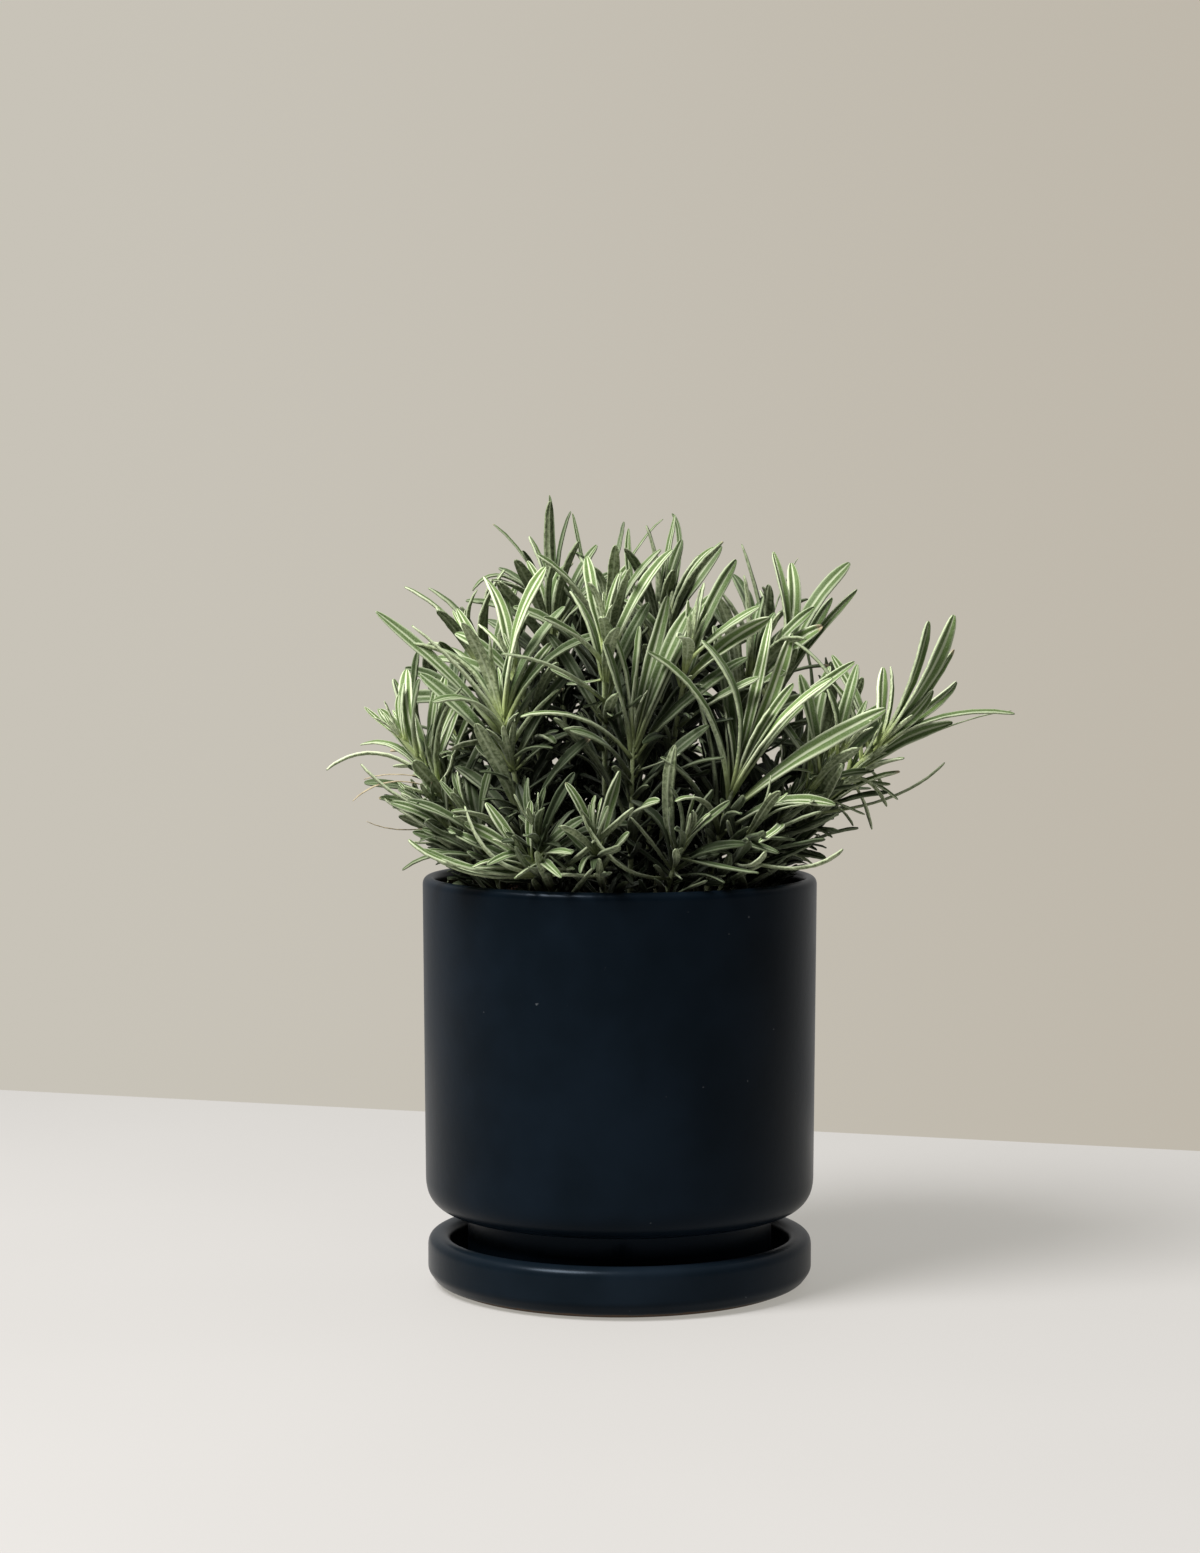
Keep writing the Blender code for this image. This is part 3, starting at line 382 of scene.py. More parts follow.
# ---- making meshes ----
class Strips:
    """A mesh made of closed strips, each a tube through rings of points with pointed ends.

    Every point holds its place on the strip and the strip's kind, as two colours that the
    materials read, and each strip has its own cell of the UV map.
    """

    def __init__(self):
        self.points, self.places, self.kinds = [], [], []
        self.faces, self.uvs, self.owners, self.materials = [], [], [], []
        self.count = self.strips = 0

    def add(self, rings, low, high, place, kind, material=0):
        """Add rings (n, m, 3) between two end points, with place (n, m, 3) and kind (3)."""
        rows, around = rings.shape[:2]
        start = self.count
        self.points += [rings.reshape(-1, 3), np.array([low, high])]
        ends = np.array([place[0].mean(0), place[-1].mean(0)])
        self.places += [place.reshape(-1, 3), ends]
        self.kinds.append(np.tile(kind, (rows * around + 2, 1)))
        low_index = start + rows * around
        high_index = low_index + 1
        self.count = high_index + 1
        levels = np.linspace(0.0, 1.0, rows + 2)
        for row in range(rows + 1):
            below, above = levels[row], levels[row + 1]
            for k in range(around):
                left, right = k / around, (k + 1) / around
                nearer = start + (row - 1) * around
                this, following = nearer + k, nearer + (k + 1) % around
                if row == 0:
                    corners = (low_index, following + around, this + around)
                    uv = (((left + right) / 2, below), (right, above), (left, above))
                elif row == rows:
                    corners = (this, following, high_index)
                    uv = ((left, below), (right, below), ((left + right) / 2, above))
                else:
                    corners = (this, following, following + around, this + around)
                    uv = ((left, below), (right, below), (right, above), (left, above))
                self.faces.append(corners)
                self.uvs.append(uv)
                self.owners.append(self.strips)
                self.materials.append(material)
        self.strips += 1

    def make(self, name, materials):
        """The finished object."""
        mesh = bpy.data.meshes.new(name)
        mesh.from_pydata(np.concatenate(self.points).tolist(), [], self.faces)
        columns = math.ceil(math.sqrt(self.strips * 4))
        rows = math.ceil(self.strips / columns)
        layer = mesh.uv_layers.new(name="OFBake")
        flat = []
        for owner, corners in zip(self.owners, self.uvs):
            row, column = divmod(owner, columns)
            for across, along in corners:
                flat += [(column + 0.06 + 0.88 * across) / columns,
                         (row + 0.02 + 0.96 * along) / rows]
        layer.data.foreach_set("uv", flat)
        for title, values in (("place", self.places), ("kind", self.kinds)):
            attribute = mesh.attributes.new(title, "FLOAT_COLOR", "POINT")
            colours = np.ones((self.count, 4), np.float32)
            colours[:, :3] = np.concatenate(values)
            attribute.data.foreach_set("color", colours.ravel())
        mesh.polygons.foreach_set("material_index", self.materials)
        mesh.shade_smooth()
        for material in materials:
            mesh.materials.append(material)
        piece = bpy.data.objects.new(name, mesh)
        bpy.context.scene.collection.objects.link(piece)
        return piece


# ---- leaves and stems ----
def section(upper_half, lower_half):
    """A cross-section's points, and for each how much it belongs to the upper side."""
    upper = [(-x, y) for x, y in upper_half] + [(x, y) for x, y in reversed(upper_half) if x]
    lower = [*lower_half] + [(-x, y) for x, y in reversed(lower_half) if x]
    top = [MARGIN_TOP] + [1.0] * (len(upper) - 2) + [MARGIN_TOP] + [0.0] * len(lower)
    return np.array(upper + lower), np.array(top)


FULL_LEAF = (LEAF_STATIONS, *section(UPPER_HALF, LOWER_HALF), WEAVING)
SMALL_LEAF = (LEAFLET_STATIONS, *section(SMALL_UPPER_HALF, SMALL_LOWER_HALF), SMALL_WEAVING)


def width_profile(share):
    """A leaf's width along its length, as a share of the widest: the tip is blunt."""
    rise = np.sin(np.clip(share / WIDEST, 0, 1) * math.pi / 2) ** 1.2
    past = np.clip((share - WIDEST) / (1 - WIDEST), 0, 1)
    return (BASE_WIDTH + (1 - BASE_WIDTH) * rise) * (1 - past ** 2.8) ** 0.52


def upper_way(forward, up, out):
    """The way a leaf's upper side faces: up the stem, or to it where the leaf stands along it."""
    way = up - forward * forward.dot(up)
    if norm(way) < UNCERTAIN:
        way = forward * out.dot(forward) - out
    return way


def leaf_axes(curve, t, up, out, roll):
    """A leaf's middle line and tip, and the ways up and across at each station."""
    centre, tip = curve(t), curve(np.array([1.0]))[0]
    forward = unit(curve(t + SLOPE_STEP) - curve(t - SLOPE_STEP))
    lift = upper_way(unit(tip - centre[0]), up, out)
    rise = unit(lift - forward * (forward @ lift)[:, None])
    across = np.cross(rise, forward)
    turn = (roll * t)[:, None]
    return (centre, tip, rise * np.cos(turn) + across * np.sin(turn),
            across * np.cos(turn) - rise * np.sin(turn))


def leaf_section(t, profile, width, fold, phase):
    """How far each point of the cross-sections is to the side and up, at each station."""
    u, v = profile[:, 0], profile[:, 1]
    half = width / 2 * width_profile(t) * (1 + WIDTH_WAVE[0] * np.sin(t * WIDTH_WAVE[1] + phase))
    tapered = (1.1 - 0.25 * t) * np.minimum(1, (1.05 - t) * 7) ** 0.5
    thick = min(LEAF_THICKNESS, THINNEST * width) * tapered
    fold = (fold * (1 - FOLD_OPENS * t))[:, None]
    flat = half[:, None] * u * np.cos(fold) ** np.abs(u)
    raised = half[:, None] * np.abs(u) ** 1.4 * np.sin(fold)
    ruffle = RUFFLE[0] * np.sin(t * RUFFLE[1] + phase)[:, None] * np.abs(u) ** 3
    return flat, raised + thick[:, None] * v + ruffle


def add_leaf(strips, curve, up, out, roll, width, looks, chance, shape=FULL_LEAF):
    """Sweep a leaf's cross-section along a curve.

    up is the stem's direction, which the upper side faces, out is the way off the stem, and
    roll is the turn about the leaf's own length at its tip.
    """
    stations, profile, top, weaving = shape
    t = np.array(stations)
    centre, tip, rise, across = leaf_axes(curve, t, up, out, roll)
    length = norm(tip - centre[0])
    phase = chance.uniform(0, math.tau)
    sway = chance.uniform(-1, 1) * weaving * length
    along = np.append(t, 1.0)
    sag = -looks["droop"] * length * np.clip(along - BEND_STARTS, 0, 1) ** 2 * BEND_GAIN
    weave = sway * np.sin(along * WEAVE_TURN + phase) * along
    line = np.vstack([centre, tip]) + sag[:, None] * rise[-1] + weave[:, None] * across[-1]
    centre, tip = line[:-1], line[-1]
    forward = unit(np.gradient(line, axis=0))[:-1]
    rise = unit(rise - forward * np.sum(rise * forward, axis=1, keepdims=True))
    across = np.cross(rise, forward)
    flat, height = leaf_section(t, profile, width, looks["fold"], phase)
    rings = (centre[:, None, :] + flat[..., None] * across[:, None, :]
             + height[..., None] * rise[:, None, :])
    place = np.empty((len(t), len(top), 3))
    place[..., 0] = profile[:, 0] * 0.5 + 0.5
    place[..., 1] = t[:, None]
    place[..., 2] = top
    kind = (looks["tone"], looks["age"], looks["dry"])
    strips.add(rings, centre[0] - forward[0] * LEAF_SUNK, tip, place, kind)


def add_stem(strips, shoot, looks):
    """The stem: square with rounded edges, thicker where leaves leave it."""
    path = shoot.stem
    count = max(int(path_length(path) / STEM_STEP), 6)
    share = np.linspace(0.0, STEM_END, count)
    centre = spline_through(path, share)
    forward = unit(np.gradient(centre, axis=0))
    side = unit(shoot.stem_side - forward * (forward @ shoot.stem_side)[:, None])
    other = np.cross(forward, side)
    half = np.interp(share, np.linspace(0, 1, len(shoot.stem_half)), shoot.stem_half)
    bases = np.array([leaf["points"][0] for leaf in shoot.leaves])
    gaps = norm(centre[:, None] - bases[None], axis=2).min(axis=1)
    half = half * (1 + NODE_SWELL * np.exp(-(gaps / NODE_REACH) ** 2))
    half = half * np.minimum(1, (1.0 - share) * STEM_POINT) ** 0.5
    angle = np.arange(STEM_SIDES) / STEM_SIDES * math.tau + math.tau / 8
    swell = (np.abs(np.cos(angle)) ** 4 + np.abs(np.sin(angle)) ** 4) ** -0.25
    reach = half[:, None] * swell
    rings = (centre[:, None, :] + (reach * np.cos(angle))[..., None] * side[:, None, :]
             + (reach * np.sin(angle))[..., None] * other[:, None, :])
    place = np.empty((count, STEM_SIDES, 3))
    place[..., 0] = 0.5 + 0.5 * np.cos(angle * 4)
    place[..., 1] = share[:, None]
    place[..., 2] = 1.0
    kind = (looks["tone"], looks["age"], 0.0)
    strips.add(rings, path[0], path[-1], place, kind, 1)


# ---- small leaves ----
class Crowd:
    """The CAD shoots' surfaces and the leaflets added so far, which new leaflets avoid."""

    def __init__(self, nodes):
        points, faces = [], []
        for node in nodes:
            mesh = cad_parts[node].data
            start = len(points)
            points += [vert.co.copy() for vert in mesh.vertices]
            faces += [[start + index for index in face.vertices] for face in mesh.polygons]
        self.tree = BVHTree.FromPolygons(points, faces)
        self.taken = {}

    @staticmethod
    def cell(place):
        return tuple(int(value // CROWD_CELL) for value in place)

    def free(self, places, margin):
        """True where nothing is within margin of any of the places."""
        for place in places:
            if self.tree.find_nearest(Vector(place), margin)[0] is not None:
                return False
            middle_cell = self.cell(place)
            for step in np.ndindex(3, 3, 3):
                cell = tuple(value + move - 1 for value, move in zip(middle_cell, step))
                for other in self.taken.get(cell, ()):
                    if norm(other - place) < margin:
                        return False
        return True

    def take(self, places):
        """Note that the places are taken."""
        for place in places:
            self.taken.setdefault(self.cell(place), []).append(place)


def clears_rim(points):
    """True where no point is in the pot's wall or hangs down outside it."""
    radius = np.hypot(points[:, 0], points[:, 1])
    return not np.any((radius > rim_inside - RIM_ROOM) & (points[:, 2] < rim_height + RIM_ROOM))


def add_leaflet(strips, crowd, base, up, out, spread, length, width, looks, chance, margin):
    """A small leaf, where there is room for it."""
    direction = unit(up * math.cos(spread) + out * math.sin(spread))
    outward = (out - up * 0.3) * length * chance.uniform(-0.14, 0.16)
    pull = base + direction * length * 0.5 + outward
    end = base + direction * length
    sagging = looks["droop"] * length * UPRIGHT
    path = np.array([pull * 0.5 + (base + end) * 0.25, pull * 0.3 + end * 0.7 - sagging * 0.5,
                     end - sagging])
    if clears_rim(path) and crowd.free(path, margin):
        crowd.take(path[::2])
        roll = chance.uniform(-0.9, 0.9)
        add_leaf(strips, bent(base, pull, end), up, out, roll, width, looks, chance, SMALL_LEAF)


def add_tuft(strips, crowd, leaf, age, chance):
    """Young leaves from a leaf's axil: a few that spread like a small hand."""
    up, out = leaf["up_stem"], leaf["out"]
    axil = leaf["points"][0] - out * AXIL_DEPTH
    size = chance.uniform(*TUFT_SIZES)
    for _ in range(chance.randint(3, 5)):
        way = turned_about(out, up, chance.uniform(-1.2, 1.2))
        spread = math.radians(chance.uniform(12, 66))
        length = size * chance.uniform(0.45, 1.0)
        looks = {"age": age, "dry": 0.0, "fold": chance.uniform(0.1, 0.7),
                 "tone": chance.uniform(0.2, 0.95), "droop": chance.uniform(-0.10, 0.22)}
        narrowest, widest = TUFT_WIDTHS
        width = max(narrowest, min(widest, length * TUFT_STOUT))
        add_leaflet(strips, crowd, axil + way * AXIL_DEPTH, up, way, spread, length, width, looks,
                    chance, TUFT_ROOM)


def add_low_leaf(strips, crowd, base, up, way, reach, at_side, from_axis, chance):
    """One small leaf of a low stem, or one that reaches out over the rim."""
    out = unit(way - up * way.dot(up))
    size = chance.uniform(*LOW_LENGTHS) * (SIDE_SIZE if at_side else 1.0)
    spread = chance.uniform(*LOW_SPREADS)
    if reach:
        size = chance.uniform(*(SIDE_LENGTHS if at_side else RIM_LENGTHS))
        spread = chance.uniform(*RIM_SPREADS)
    # painted light and shade: some small leaves are painted as lit, paler, the rest as shaded,
    # darker
    age = chance.uniform(*(PAINTED_LIT_RANGE if chance.random() < PAINTED_LIT_SHARE else PAINTED_SHADED_RANGE))
    # painted shade: small leaves near the pot's axis are darker
    inside = 1 - smooth(from_axis, *INNER_PAINTED_SHADE)
    looks = {"age": float(min(1.0, age + 0.5 * inside)), "dry": 0.0,
             "tone": chance.uniform(0.1, 0.9), "fold": chance.uniform(0.1, 0.7),
             "droop": chance.uniform(-0.12, 0.28)}
    add_leaflet(strips, crowd, base + out * STEM_SURFACE, up, out, math.radians(spread), size,
                min(0.0044, 0.0012 + size * 0.085), looks, chance, LOW_ROOM)


def fill_low_stem(strips, crowd, stem, stem_side, chance):
    """Small leaves all along the lower stem, and longer ones that hang over the pot's rim."""
    length = path_length(stem)
    for level in range(int(LEAFY_SHARE * length / LOW_PITCH)):
        share = (LOW_START + level * LOW_PITCH) / length
        if share > LEAFY_SHARE:
            break
        base, above = spline_through(stem, np.array([share, share + 0.02]))
        up = unit(above - base)
        outward = unit(np.array([base[0], base[1], 0.0]))
        from_axis = math.hypot(base[0], base[1])
        near_rim = base[2] < RIM_LEAF_TOP and from_axis > RIM_LEAF_ROOT
        at_side = near_rim and outward[1] > SIDE_STARTS
        side = turned_about(stem_side, up, level * LOW_TURN + chance.uniform(-0.4, 0.4))
        ways = [turned_about(side, up, turn) for turn in (0.0, math.pi)]
        if near_rim:
            ways.append(turned_about(outward, UPRIGHT, chance.uniform(-1, 1)))
        for index, way in enumerate(ways):
            add_low_leaf(strips, crowd, base, up, way, index > 1, at_side, from_axis, chance)


def add_bud(strips, crowd, shoot, chance):
    """The youngest leaves, close round the stem's tip."""
    up = unit(shoot.stem[-1] - shoot.stem[-2])
    looks = {"tone": 0.9, "age": 0.0, "dry": 0.0, "fold": 0.5, "droop": 0.0}
    for index in range(BUD_LEAVES):
        out = turned_about(unit(np.cross(up, shoot.stem_side)), up, index * BUD_TURN)
        spread = math.radians(6 + 2 * index)
        length, width = 0.007 + 0.0022 * index, 0.0016 + 0.0001 * index
        add_leaflet(strips, crowd, shoot.stem[-2] + out * AXIL_DEPTH, up, out, spread, length,
                    width, looks, chance, BUD_ROOM)


# ---- shoots ----
def shoot_looks(node, shoot):
    """How pale a shoot's leaves are and how dark: the ones behind get painted shade, and the low
    ones are darker from age and painted shade.
    """
    chance = random.Random("looks " + node)
    middle_point = shoot.stem[len(shoot.stem) // 2]
    # painted shade: shoots that stand further back are darker
    age = FRONT_PAINTED_SHADE + BACK_PAINTED_SHADE * float(smooth(middle_point[1], *FRONT_TO_BACK))
    # low shoots are darker near the soil, from age and painted shade
    if node.startswith("shoot_low"):
        age += chance.uniform(*LOW_SHOOT_AGE_AND_SHADE)
    return {"tone": chance.uniform(0.3, 0.8), "age": age}


def leaf_looks(leaf, whole, below, chance):
    """The colours and bends of a leaf that starts below metres under the shoot's tip."""
    age = whole["age"] + AGE_DOWN_STEM * below + chance.uniform(-AGE_VARIES, AGE_VARIES)
    bending = chance.random() < DROOPING_SHARE
    tone = whole["tone"] + chance.uniform(-TONE_VARIES, TONE_VARIES)
    looks = {"tone": float(np.clip(tone, 0, 1)), "age": float(np.clip(age, 0, 1)),
             "dry": chance.uniform(*DRY_TIPS) if chance.random() < DRY_TIP_SHARE else 0.0,
             "fold": chance.choice(FOLDS) * chance.uniform(0.7, 1.2),
             "droop": chance.uniform(*(STRONG_DROOP if bending else SLIGHT_DROOP))}
    drop = 2 * looks["droop"] * leaf["length"]
    if looks["droop"] > 0 and leaf["points"][-1][2] < rim_height + drop:
        looks["droop"] = 0.0
    return looks


def add_cad_leaf(strips, leaf, looks, chance):
    """The fine leaf along one CAD leaf, turned as that one is and a little to the front."""
    shares, curve = curve_through(leaf["points"])
    share = shares[-2]  # of the last cross-section below the tip
    ahead = unit(curve(np.array([share + SLOPE_STEP])) - curve(np.array([share - SLOPE_STEP])))[0]
    unturned = unit(upper_way(ahead, leaf["up_stem"], leaf["out"]))
    rise = leaf["rise"] * (1 if leaf["rise"].dot(unturned) > 0 else -1)
    roll = math.atan2(ahead.dot(np.cross(unturned, rise)), unturned.dot(rise))
    roll -= np.sign(np.cross(rise, ahead)[1]) * chance.uniform(*TURN_TO_FRONT)
    width = min(leaf["width"] * LEAF_SPREAD, leaf["length"] * STOUTEST)
    add_leaf(strips, curve, leaf["up_stem"], leaf["out"], roll / share, width, looks, chance)


def make_shoot(node, crowd, materials):
    """The fine mesh that stands for one CAD shoot.  It gives back the shoot's stem."""
    shoot = ReadShoot(node)
    chance = random.Random("shoot " + node)
    whole = shoot_looks(node, shoot)
    strips = Strips()
    add_stem(strips, shoot, whole)
    for leaf in shoot.leaves:
        below = norm(shoot.stem[-2] - leaf["points"][0])
        looks = leaf_looks(leaf, whole, below, chance)
        add_cad_leaf(strips, leaf, looks, chance)
        if below > TUFTS_BELOW:
            add_tuft(strips, crowd, leaf, looks["age"] * 0.6, chance)
    fill_low_stem(strips, crowd, shoot.stem, shoot.stem_side, chance)
    add_bud(strips, crowd, shoot, chance)
    piece = strips.make("leafy_" + node, materials)
    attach(piece, "root")
    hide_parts(node)
    return shoot.stem


def make_loose_leaves(stems, material):
    """The single leaves, each from the stem nearest to its base."""
    strips = Strips()
    chance = random.Random("loose leaves")
    along_stems = np.vstack([spline_through(stem, np.linspace(0.1, 0.97, 40)) for stem in stems])
    for points, width, age, dry in LOOSE_LEAVES:
        wanted, bend, tip = np.array(points) / 1000 + [0, 0, rim_height]
        base = along_stems[np.argmin(norm(along_stems - wanted, axis=1))]
        looks = {"tone": 0.6, "age": age, "dry": dry, "fold": 0.4, "droop": 0.0}
        out = unit(np.array([tip[0] - base[0], tip[1] - base[1], 0.0]))
        add_leaf(strips, bent(base, bend, tip), UPRIGHT, out, 0.3, width / 1000, looks, chance)
    piece = strips.make("loose_leaves", [material])
    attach(piece, "root")


# ---- turned pieces ----
def read_outline(node):
    """The points of a turned CAD node's outline in the plane y = 0, in order."""
    bm = welded(node)
    inside = [vert for vert in bm.verts if abs(vert.co.y) < WELD and vert.co.x > -WELD]
    members = set(inside)
    joined = {vert: [edge.other_vert(vert) for edge in vert.link_edges
                     if edge.other_vert(vert) in members] for vert in inside}
    ends = sorted((vert for vert in inside if len(joined[vert]) == 1), key=lambda vert: vert.co.z)
    start = ends[0] if ends else min(inside, key=lambda vert: (vert.co.z, vert.co.x))
    walk, previous = [start], None
    while True:
        ahead = [vert for vert in joined[walk[-1]] if vert is not previous]
        if previous is None:
            ahead.sort(key=lambda vert: (vert.co.z, -vert.co.x))
        if not ahead or ahead[0] is start:
            break
        previous = walk[-1]
        walk.append(ahead[0])
    outline = [(vert.co.x, vert.co.z) for vert in walk]
    bm.free()
    return np.array(outline), not ends


def eased(outline, closed, reach, steps=5):
    """The outline with each corner turned into a curve that starts at most reach from it."""
    points = []
    count = len(outline)
    for index in range(count):
        corner = outline[index]
        if not closed and index in (0, count - 1):
            points.append(corner)
            continue
        before = outline[index - 1] - corner
        after = outline[(index + 1) % count] - corner
        shortest = min(norm(before), norm(after))
        sharp = before.dot(after) > -0.5 * norm(before) * norm(after)
        cut = min(shortest / 2, reach * (SHARP_EASE if sharp else 1.0))
        low, high = corner + unit(before) * cut, corner + unit(after) * cut
        for step in range(steps):
            t = step / (steps - 1)
            point = low * (1 - t) ** 2 + corner * 2 * t * (1 - t) + high * t ** 2
            if not points or norm(point - points[-1]) > SHORTEST_EDGE:
                points.append(point)
    return np.array(points)


def turned(name, outline, closed, steps=TURNED_STEPS, shape=None):
    """Turn an outline round the Z axis, with a UV map of angle and distance along it."""
    rows = len(outline)
    lengths = np.concatenate([[0], np.cumsum(norm(np.diff(outline, axis=0), axis=1))])
    whole = lengths[-1] + (norm(outline[0] - outline[-1]) if closed else 0)
    along = list(lengths / whole) + [1.0]
    angles = np.arange(steps) * math.tau / steps
    radius, height = outline[:, :1], outline[:, 1:]
    points = np.stack([radius * np.cos(angles), radius * np.sin(angles),
                       np.repeat(height, steps, axis=1)], axis=2)
    if shape:
        points = shape(points)
    faces, uvs = [], []
    for row in range(rows if closed else rows - 1):
        upper = (row + 1) % rows
        for k in range(steps):
            right = (k + 1) % steps
            faces.append((row * steps + k, row * steps + right, upper * steps + right,
                          upper * steps + k))
            for turn, level in ((k, row), (k + 1, row), (k + 1, row + 1), (k, row + 1)):
                uvs += [0.01 + 0.98 * turn / steps, 0.01 + 0.98 * along[level]]
    mesh = bpy.data.meshes.new(name)
    mesh.from_pydata(points.reshape(-1, 3).tolist(), [], faces)
    mesh.uv_layers.new(name="OFBake").data.foreach_set("uv", uvs)
    bm = bmesh.new()
    bm.from_mesh(mesh)
    bmesh.ops.remove_doubles(bm, verts=bm.verts, dist=0.00001)
    bmesh.ops.recalc_face_normals(bm, faces=bm.faces)
    bm.to_mesh(mesh)
    bm.free()
    mesh.shade_smooth()
    piece = bpy.data.objects.new(name, mesh)
    bpy.context.scene.collection.objects.link(piece)
    return piece


def finish_turned(piece, node, material):
    """Give a turned piece its material, and let it stand for its CAD node."""
    piece.data.materials.append(material)
    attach(piece, "root")
    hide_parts(node)


def make_pot(material):
    """The pot, with the drain notches of its CAD node through the ring it stands on."""
    outline, closed = read_outline("pot")
    foot = outline[outline[:, 1] < outline[:, 1].min() + WELD][:, 0]
    tree = BVHTree.FromObject(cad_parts["pot"], bpy.context.evaluated_depsgraph_get())

    def notched(points):
        for k in range(points.shape[1]):
            ring = points[:, k]
            middle_way = unit(ring[0, :2]) * foot.mean()
            roof = tree.ray_cast(Vector((*middle_way, 0.0)), Vector((0, 0, 1)))[0].z
            over_ring = np.hypot(ring[:, 0], ring[:, 1]) > foot.min() - 0.001
            ring[over_ring, 2] = np.maximum(ring[over_ring, 2], roof)
        return points

    piece = turned("glazed_pot", eased(outline, closed, POT_EASE), closed, shape=notched)
    finish_turned(piece, "pot", material)


def make_saucer(material):
    """The saucer, whose outline is closed on to the axis at both ends."""
    outline, closed = read_outline("saucer")
    outline = np.vstack([[0.0, outline[0][1]], outline, [0.0, outline[-1][1]]])
    piece = turned("glazed_saucer", eased(outline, closed, SAUCER_EASE), closed)
    finish_turned(piece, "saucer", material)


def make_soil(material):
    """The soil: its CAD outline with a rough top; the crumbs and bits of bark on it are made apart.
    """
    outline, closed = read_outline("soil")
    top_edge = int(np.argmax(outline[:, 0]))
    edge_radius, edge_height = outline[top_edge]
    crown = outline[-1][1]
    side = eased(outline[:top_edge + 1], False, SOIL_EASE, 3)
    inward = [(edge_radius * (1 - ring / SOIL_RINGS),
               edge_height + (crown - edge_height) * math.sin(ring / SOIL_RINGS * math.pi / 2))
              for ring in range(1, SOIL_RINGS + 1)]
    fine = np.vstack([[(0.0, outline[0][1])], side, inward])
    first_top = len(side)

    def roughen(points):
        for row in range(first_top, len(points)):
            for k in range(points.shape[1]):
                place = Vector(points[row, k])
                bump = noise.fractal(place * 160, 0.8, 2.1, 4) * SOIL_ROUGHNESS
                points[row, k, 2] += bump + noise.noise(place * 60) * SOIL_ROUGHNESS
        points[-1, :, 2] = points[-1, :, 2].mean()
        return points

    piece = turned("potting_soil", fine, False, SOIL_STEPS, roughen)
    finish_turned(piece, "soil", material)


def add_crumb(strips, high, chance):
    """One crumb, or one bit of bark, on the soil whose box ends at high."""
    radius = (high.x - 0.003) * math.sqrt(chance.random())
    angle = chance.uniform(0, math.tau)
    size = chance.uniform(*CRUMB_SIZES)
    centre = np.array([radius * math.cos(angle), radius * math.sin(angle),
                       high.z - SOIL_CROWN * (radius / high.x) ** 2 + size * 0.2])
    long_way = unit(np.array([chance.uniform(-reach, reach) for reach in (1, 1, 0.3)]))
    bark = chance.random() < BARK_SHARE
    length = size * (chance.uniform(2.0, 4.5) if bark else chance.uniform(1.0, 1.5))
    side = unit(np.cross(long_way, UPRIGHT))
    upright = np.cross(side, long_way)
    rings = []
    for share in (-0.8, -0.3, 0.3, 0.8):
        girth = size * math.sqrt(1 - share ** 2) * (0.45 if bark else 0.9)
        start = chance.uniform(0, 1)
        turns = [start + k * math.tau / CRUMB_SIDES for k in range(CRUMB_SIDES)]
        rings.append([centre + long_way * length * share
                      + (side * math.cos(turn) + upright * math.sin(turn))
                      * girth * chance.uniform(0.7, 1.25) for turn in turns])
    place = np.full((len(rings), CRUMB_SIDES, 3), chance.random())
    kind = (chance.random(), float(bark), 0.0)
    strips.add(np.array(rings), centre - long_way * length, centre + long_way * length, place, kind)


def make_crumbs(material):
    """Loose crumbs and bark bits lying on the soil."""
    chance = random.Random("crumbs")
    strips = Strips()
    for _ in range(CRUMB_COUNT):
        add_crumb(strips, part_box("soil")[1], chance)
    piece = strips.make("soil_crumbs", [material])
    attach(piece, "root")


# ---- materials ----
class Nodes:
    """A node tree, with a short call for each kind of node."""

    def __init__(self, tree):
        self.tree = tree

    def put(self, socket, value):
        """Give a socket a value, or join it to another node's output."""
        if isinstance(value, bpy.types.NodeSocket):
            self.tree.links.new(value, socket)
        else:
            socket.default_value = value

    def node(self, kind, inputs=(), **settings):
        made = self.tree.nodes.new("ShaderNode" + kind)
        for name, value in settings.items():
            setattr(made, name, value)
        for name, value in dict(inputs).items():
            self.put(made.inputs[name], value)
        return made

    def position(self):
        return self.node("TexCoord").outputs["Object"]

    def noise(self, scale, detail=2.0, roughness=0.5):
        made = self.node("TexNoise", {"Vector": self.position(), "Scale": scale,
                                      "Detail": detail, "Roughness": roughness})
        return made.outputs["Fac"]

    def ramp(self, value, low, high, least=0.0, most=1.0):
        """least at low and most at high, with an even S between them."""
        made = self.node("MapRange", {"Value": value, "From Min": low, "From Max": high,
                                      "To Min": least, "To Max": most},
                         interpolation_type="SMOOTHSTEP")
        return made.outputs["Result"]

    def maths(self, operation, first, second=0.0, third=0.0):
        made = self.node("Math", {0: first, 1: second, 2: third}, operation=operation)
        return made.outputs["Value"]

    def times(self, first, second):
        return self.maths("MULTIPLY", first, second)

    def scaled(self, value, factor, plus):
        return self.maths("MULTIPLY_ADD", value, factor, plus)

    def mix(self, factor, first, second):
        """A mix of two colours, each an output or display values of 0 to 255."""
        first, second = [srgb(*each) if isinstance(each, tuple) else each
                         for each in (first, second)]
        made = self.node("Mix", {"Factor": factor, 6: first, 7: second}, data_type="RGBA")
        return made.outputs[2]

    def tint(self, colour, factor, strength, *over):
        """A colour with display values laid over it, as strongly as factor times strength."""
        return self.mix(self.times(factor, strength), colour, over)

    def channels(self, attribute):
        read = self.node("Attribute", attribute_name=attribute)
        return self.node("SeparateColor", {"Color": read.outputs["Color"]}).outputs

    def bump(self, height, distance, strength=1.0, normal=None):
        inputs = {"Height": height, "Distance": distance, "Strength": strength}
        if normal:
            inputs["Normal"] = normal
        return self.node("Bump", inputs).outputs["Normal"]


